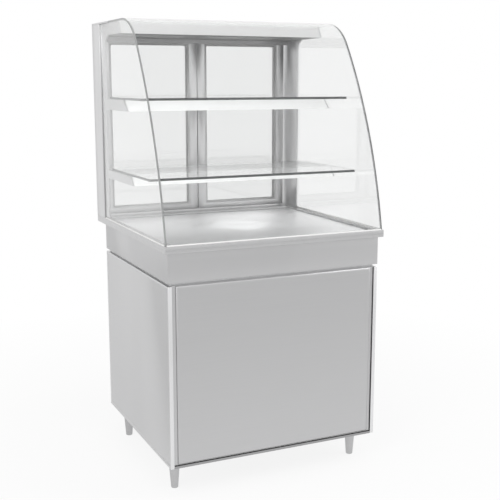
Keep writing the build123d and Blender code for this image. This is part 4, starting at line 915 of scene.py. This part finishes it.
class CASE_OT_machinery(bpy.types.Operator):
    """Cooling unit in the cabinet and in the well"""

    bl_idname = "display_case.machinery"
    bl_label = "Machinery"

    def execute(self, context):
        unit = context.scene.case_machinery
        enamel = plastic("black_enamel", unit.enamel_colour, 0.28, pits=300)
        dress(enamel, "compressor", "condenser_fan_motor")
        dress(plastic("rubber", unit.rubber_colour, 0.7, pits=1500), "compressor_grommets")
        fins = metal("fin_aluminium", unit.fin_colour, 0.3, spots=120)
        dress(fins, "condenser_coil", "evaporator_coil")
        dress(metal("fan_aluminium", unit.blade_colour, 0.35), "condenser_fan")
        dress(plastic("fan_moulding", unit.moulding_colour, 0.4), "evaporator_fan")
        copper = metal("pipe_copper", unit.copper_colour, 0.28, spots=70, spread=0.1)
        dress(copper, "refrigerant_pipes")
        foam = plastic("rigid_foam", unit.foam_colour, 0.85, pits=250, strength=0.5)
        dress(foam, "well_foam")
        return {"FINISHED"}


class CASE_OT_stage(bpy.types.Operator):
    """Floor, room light, lamps and camera"""

    bl_idname = "display_case.stage"
    bl_label = "Stage"

    def execute(self, context):
        scene = context.scene
        stage = scene.case_stage
        self.floor(scene, stage.floor_colour)
        self.room(scene, stage.room_light)
        self.lamps(scene, stage.lamp_light)
        self.camera(scene)
        scene.view_settings.view_transform = "Standard"
        return {"FINISHED"}

    def floor_paint(self, tone):
        """Pale matt floor that fades to white away from the case and keeps its shadow.

        Mirror rays see painted grey stripes in it from front to back: painted reflection on steel.
        """
        made = Finish("floor_paint")
        made.paint(Base_Color=made.varied(made.noise(3), tone, 0.99, 1.0), Roughness=0.9)
        where = made.add("ShaderNodeTexCoord").outputs["Object"]
        away = made.add("ShaderNodeVectorMath", {0: where}, operation="LENGTH").outputs["Value"]
        fade = made.ramp(away, FLOOR_GLOW, 1.0, FLOOR_NEAR, FLOOR_FAR)
        share = made.maths("MULTIPLY", made.shows_background(), fade)
        # Painted reflection: grey stripes from front to back, seen by mirror rays alone.
        depth = made.ramp(made.split(where)["Y"], 0.0, 1.0, REFLECTION_FRONT, REFLECTION_BACK)
        painted_reflection = made.add("ShaderNodeValToRGB", {"Fac": depth})
        stops = painted_reflection.color_ramp.elements
        stops.remove(stops[1])
        for place, level in PAINTED_REFLECTION_LEVELS:
            stop = stops.new(place) if place else stops[0]
            stop.color = (level, level, level, 1)
        mirrored = made.add("ShaderNodeLightPath").outputs["Is Glossy Ray"]
        seen = made.mix(mirrored, WHITE[:3], painted_reflection.outputs["Color"])
        light = made.add("ShaderNodeEmission", {"Color": seen}).outputs[0]
        made.end(made.between(share, made.shader.outputs[0], light))
        return made.material

    def floor(self, scene, tone):
        """The floor under and round the case."""
        work = bmesh.new()
        squares = FLOOR_SQUARES
        bmesh.ops.create_grid(work, x_segments=squares, y_segments=squares, size=FLOOR_SIZE)
        mesh = bpy.data.meshes.new("floor")
        work.to_mesh(mesh)
        work.free()
        mesh.materials.append(self.floor_paint(tone))
        floor = bpy.data.objects.new("floor", mesh)
        scene.collection.objects.link(floor)

    def room(self, scene, strength):
        """Even light from all round, and plain white where the room itself is seen."""
        scene.world = bpy.data.worlds.new("room")
        scene.world.use_nodes = True
        made = NodeBoard(scene.world.node_tree)
        seen = made.add("ShaderNodeBackground", {"Color": WHITE}).outputs[0]
        lit = made.add("ShaderNodeBackground", {"Color": WHITE, "Strength": strength}).outputs[0]
        made.add("ShaderNodeOutputWorld", {0: made.between(made.shows_background(), lit, seen)})

    def lamps(self, scene, light):
        """Soft lamps, each for its own pieces; none lights the glass."""
        lit = {name: bpy.data.collections.new(name) for name in ("opaque", "deck", "housings")}
        for obj in scene.objects:
            if obj.type == "MESH" and "glass" not in obj.data.materials[0].name:
                lit["opaque"].objects.link(obj)
        lit["deck"].objects.link(scene.objects["deck_folded"])
        for name in ("upper_shelf_carrier", "lower_shelf_carrier"):
            lit["housings"].objects.link(scene.objects[name + "_folded"])
        for name, place, size, share, pieces in LAMPS:
            data = bpy.data.lights.new(name, "AREA")
            data.shape = "RECTANGLE"
            data.size, data.size_y = size
            data.energy = light * share
            lamp = bpy.data.objects.new(name, data)
            lamp.visible_camera = False
            lamp.visible_transmission = False
            lamp.light_linking.receiver_collection = lit[pieces]
            scene.collection.objects.link(lamp)
            lamp.location = place
            aim = LAMP_AIM - Vector(place)
            lamp.rotation_euler = aim.to_track_quat("-Z", "Y").to_euler()

    def camera(self, scene):
        """The photograph's view."""
        data = bpy.data.cameras.new("camera")
        data.sensor_width = CAMERA_SENSOR
        data.lens = CAMERA_LENS
        camera = bpy.data.objects.new("camera", data)
        scene.collection.objects.link(camera)
        camera.location = CAMERA_PLACE
        camera.rotation_euler = (pi / 2 - CAMERA_DOWN, 0, CAMERA_TURN)
        scene.camera = camera


class CASE_PT_panel(bpy.types.Panel):
    """Sizes, colours and pieces of the display case"""

    bl_idname = "CASE_PT_panel"
    bl_label = "Display Case"
    bl_space_type = "VIEW_3D"
    bl_region_type = "UI"
    bl_category = "Display Case"

    def draw(self, context):
        layout = self.layout
        for group in groups:
            settings = getattr(context.scene, group)
            box = layout.box()
            for key in settings.bl_rna.properties.keys():
                if key not in {"rna_type", "name"}:
                    box.prop(settings, key)
        for operator in operators:
            layout.operator(operator.bl_idname)


groups = {
    "case_steel": SteelSettings,
    "case_glass": GlassSettings,
    "case_fittings": FittingSettings,
    "case_machinery": MachinerySettings,
    "case_stage": StageSettings,
}
operators = [
    CASE_OT_steelwork,
    CASE_OT_bent_glass,
    CASE_OT_fittings,
    CASE_OT_machinery,
    CASE_OT_stage,
]


def register():
    for name, group in groups.items():
        bpy.utils.register_class(group)
        setattr(bpy.types.Scene, name, PointerProperty(type=group))
    for operator in operators:
        bpy.utils.register_class(operator)
    bpy.utils.register_class(CASE_PT_panel)


def unregister():
    bpy.utils.unregister_class(CASE_PT_panel)
    for operator in reversed(operators):
        bpy.utils.unregister_class(operator)
    for name, group in groups.items():
        delattr(bpy.types.Scene, name)
        bpy.utils.unregister_class(group)


def main():
    """Makes every piece."""
    register()
    bpy.ops.display_case.steelwork()
    bpy.ops.display_case.bent_glass()
    bpy.ops.display_case.fittings()
    bpy.ops.display_case.machinery()
    bpy.ops.display_case.stage()


if __name__ == "__main__":
    main()
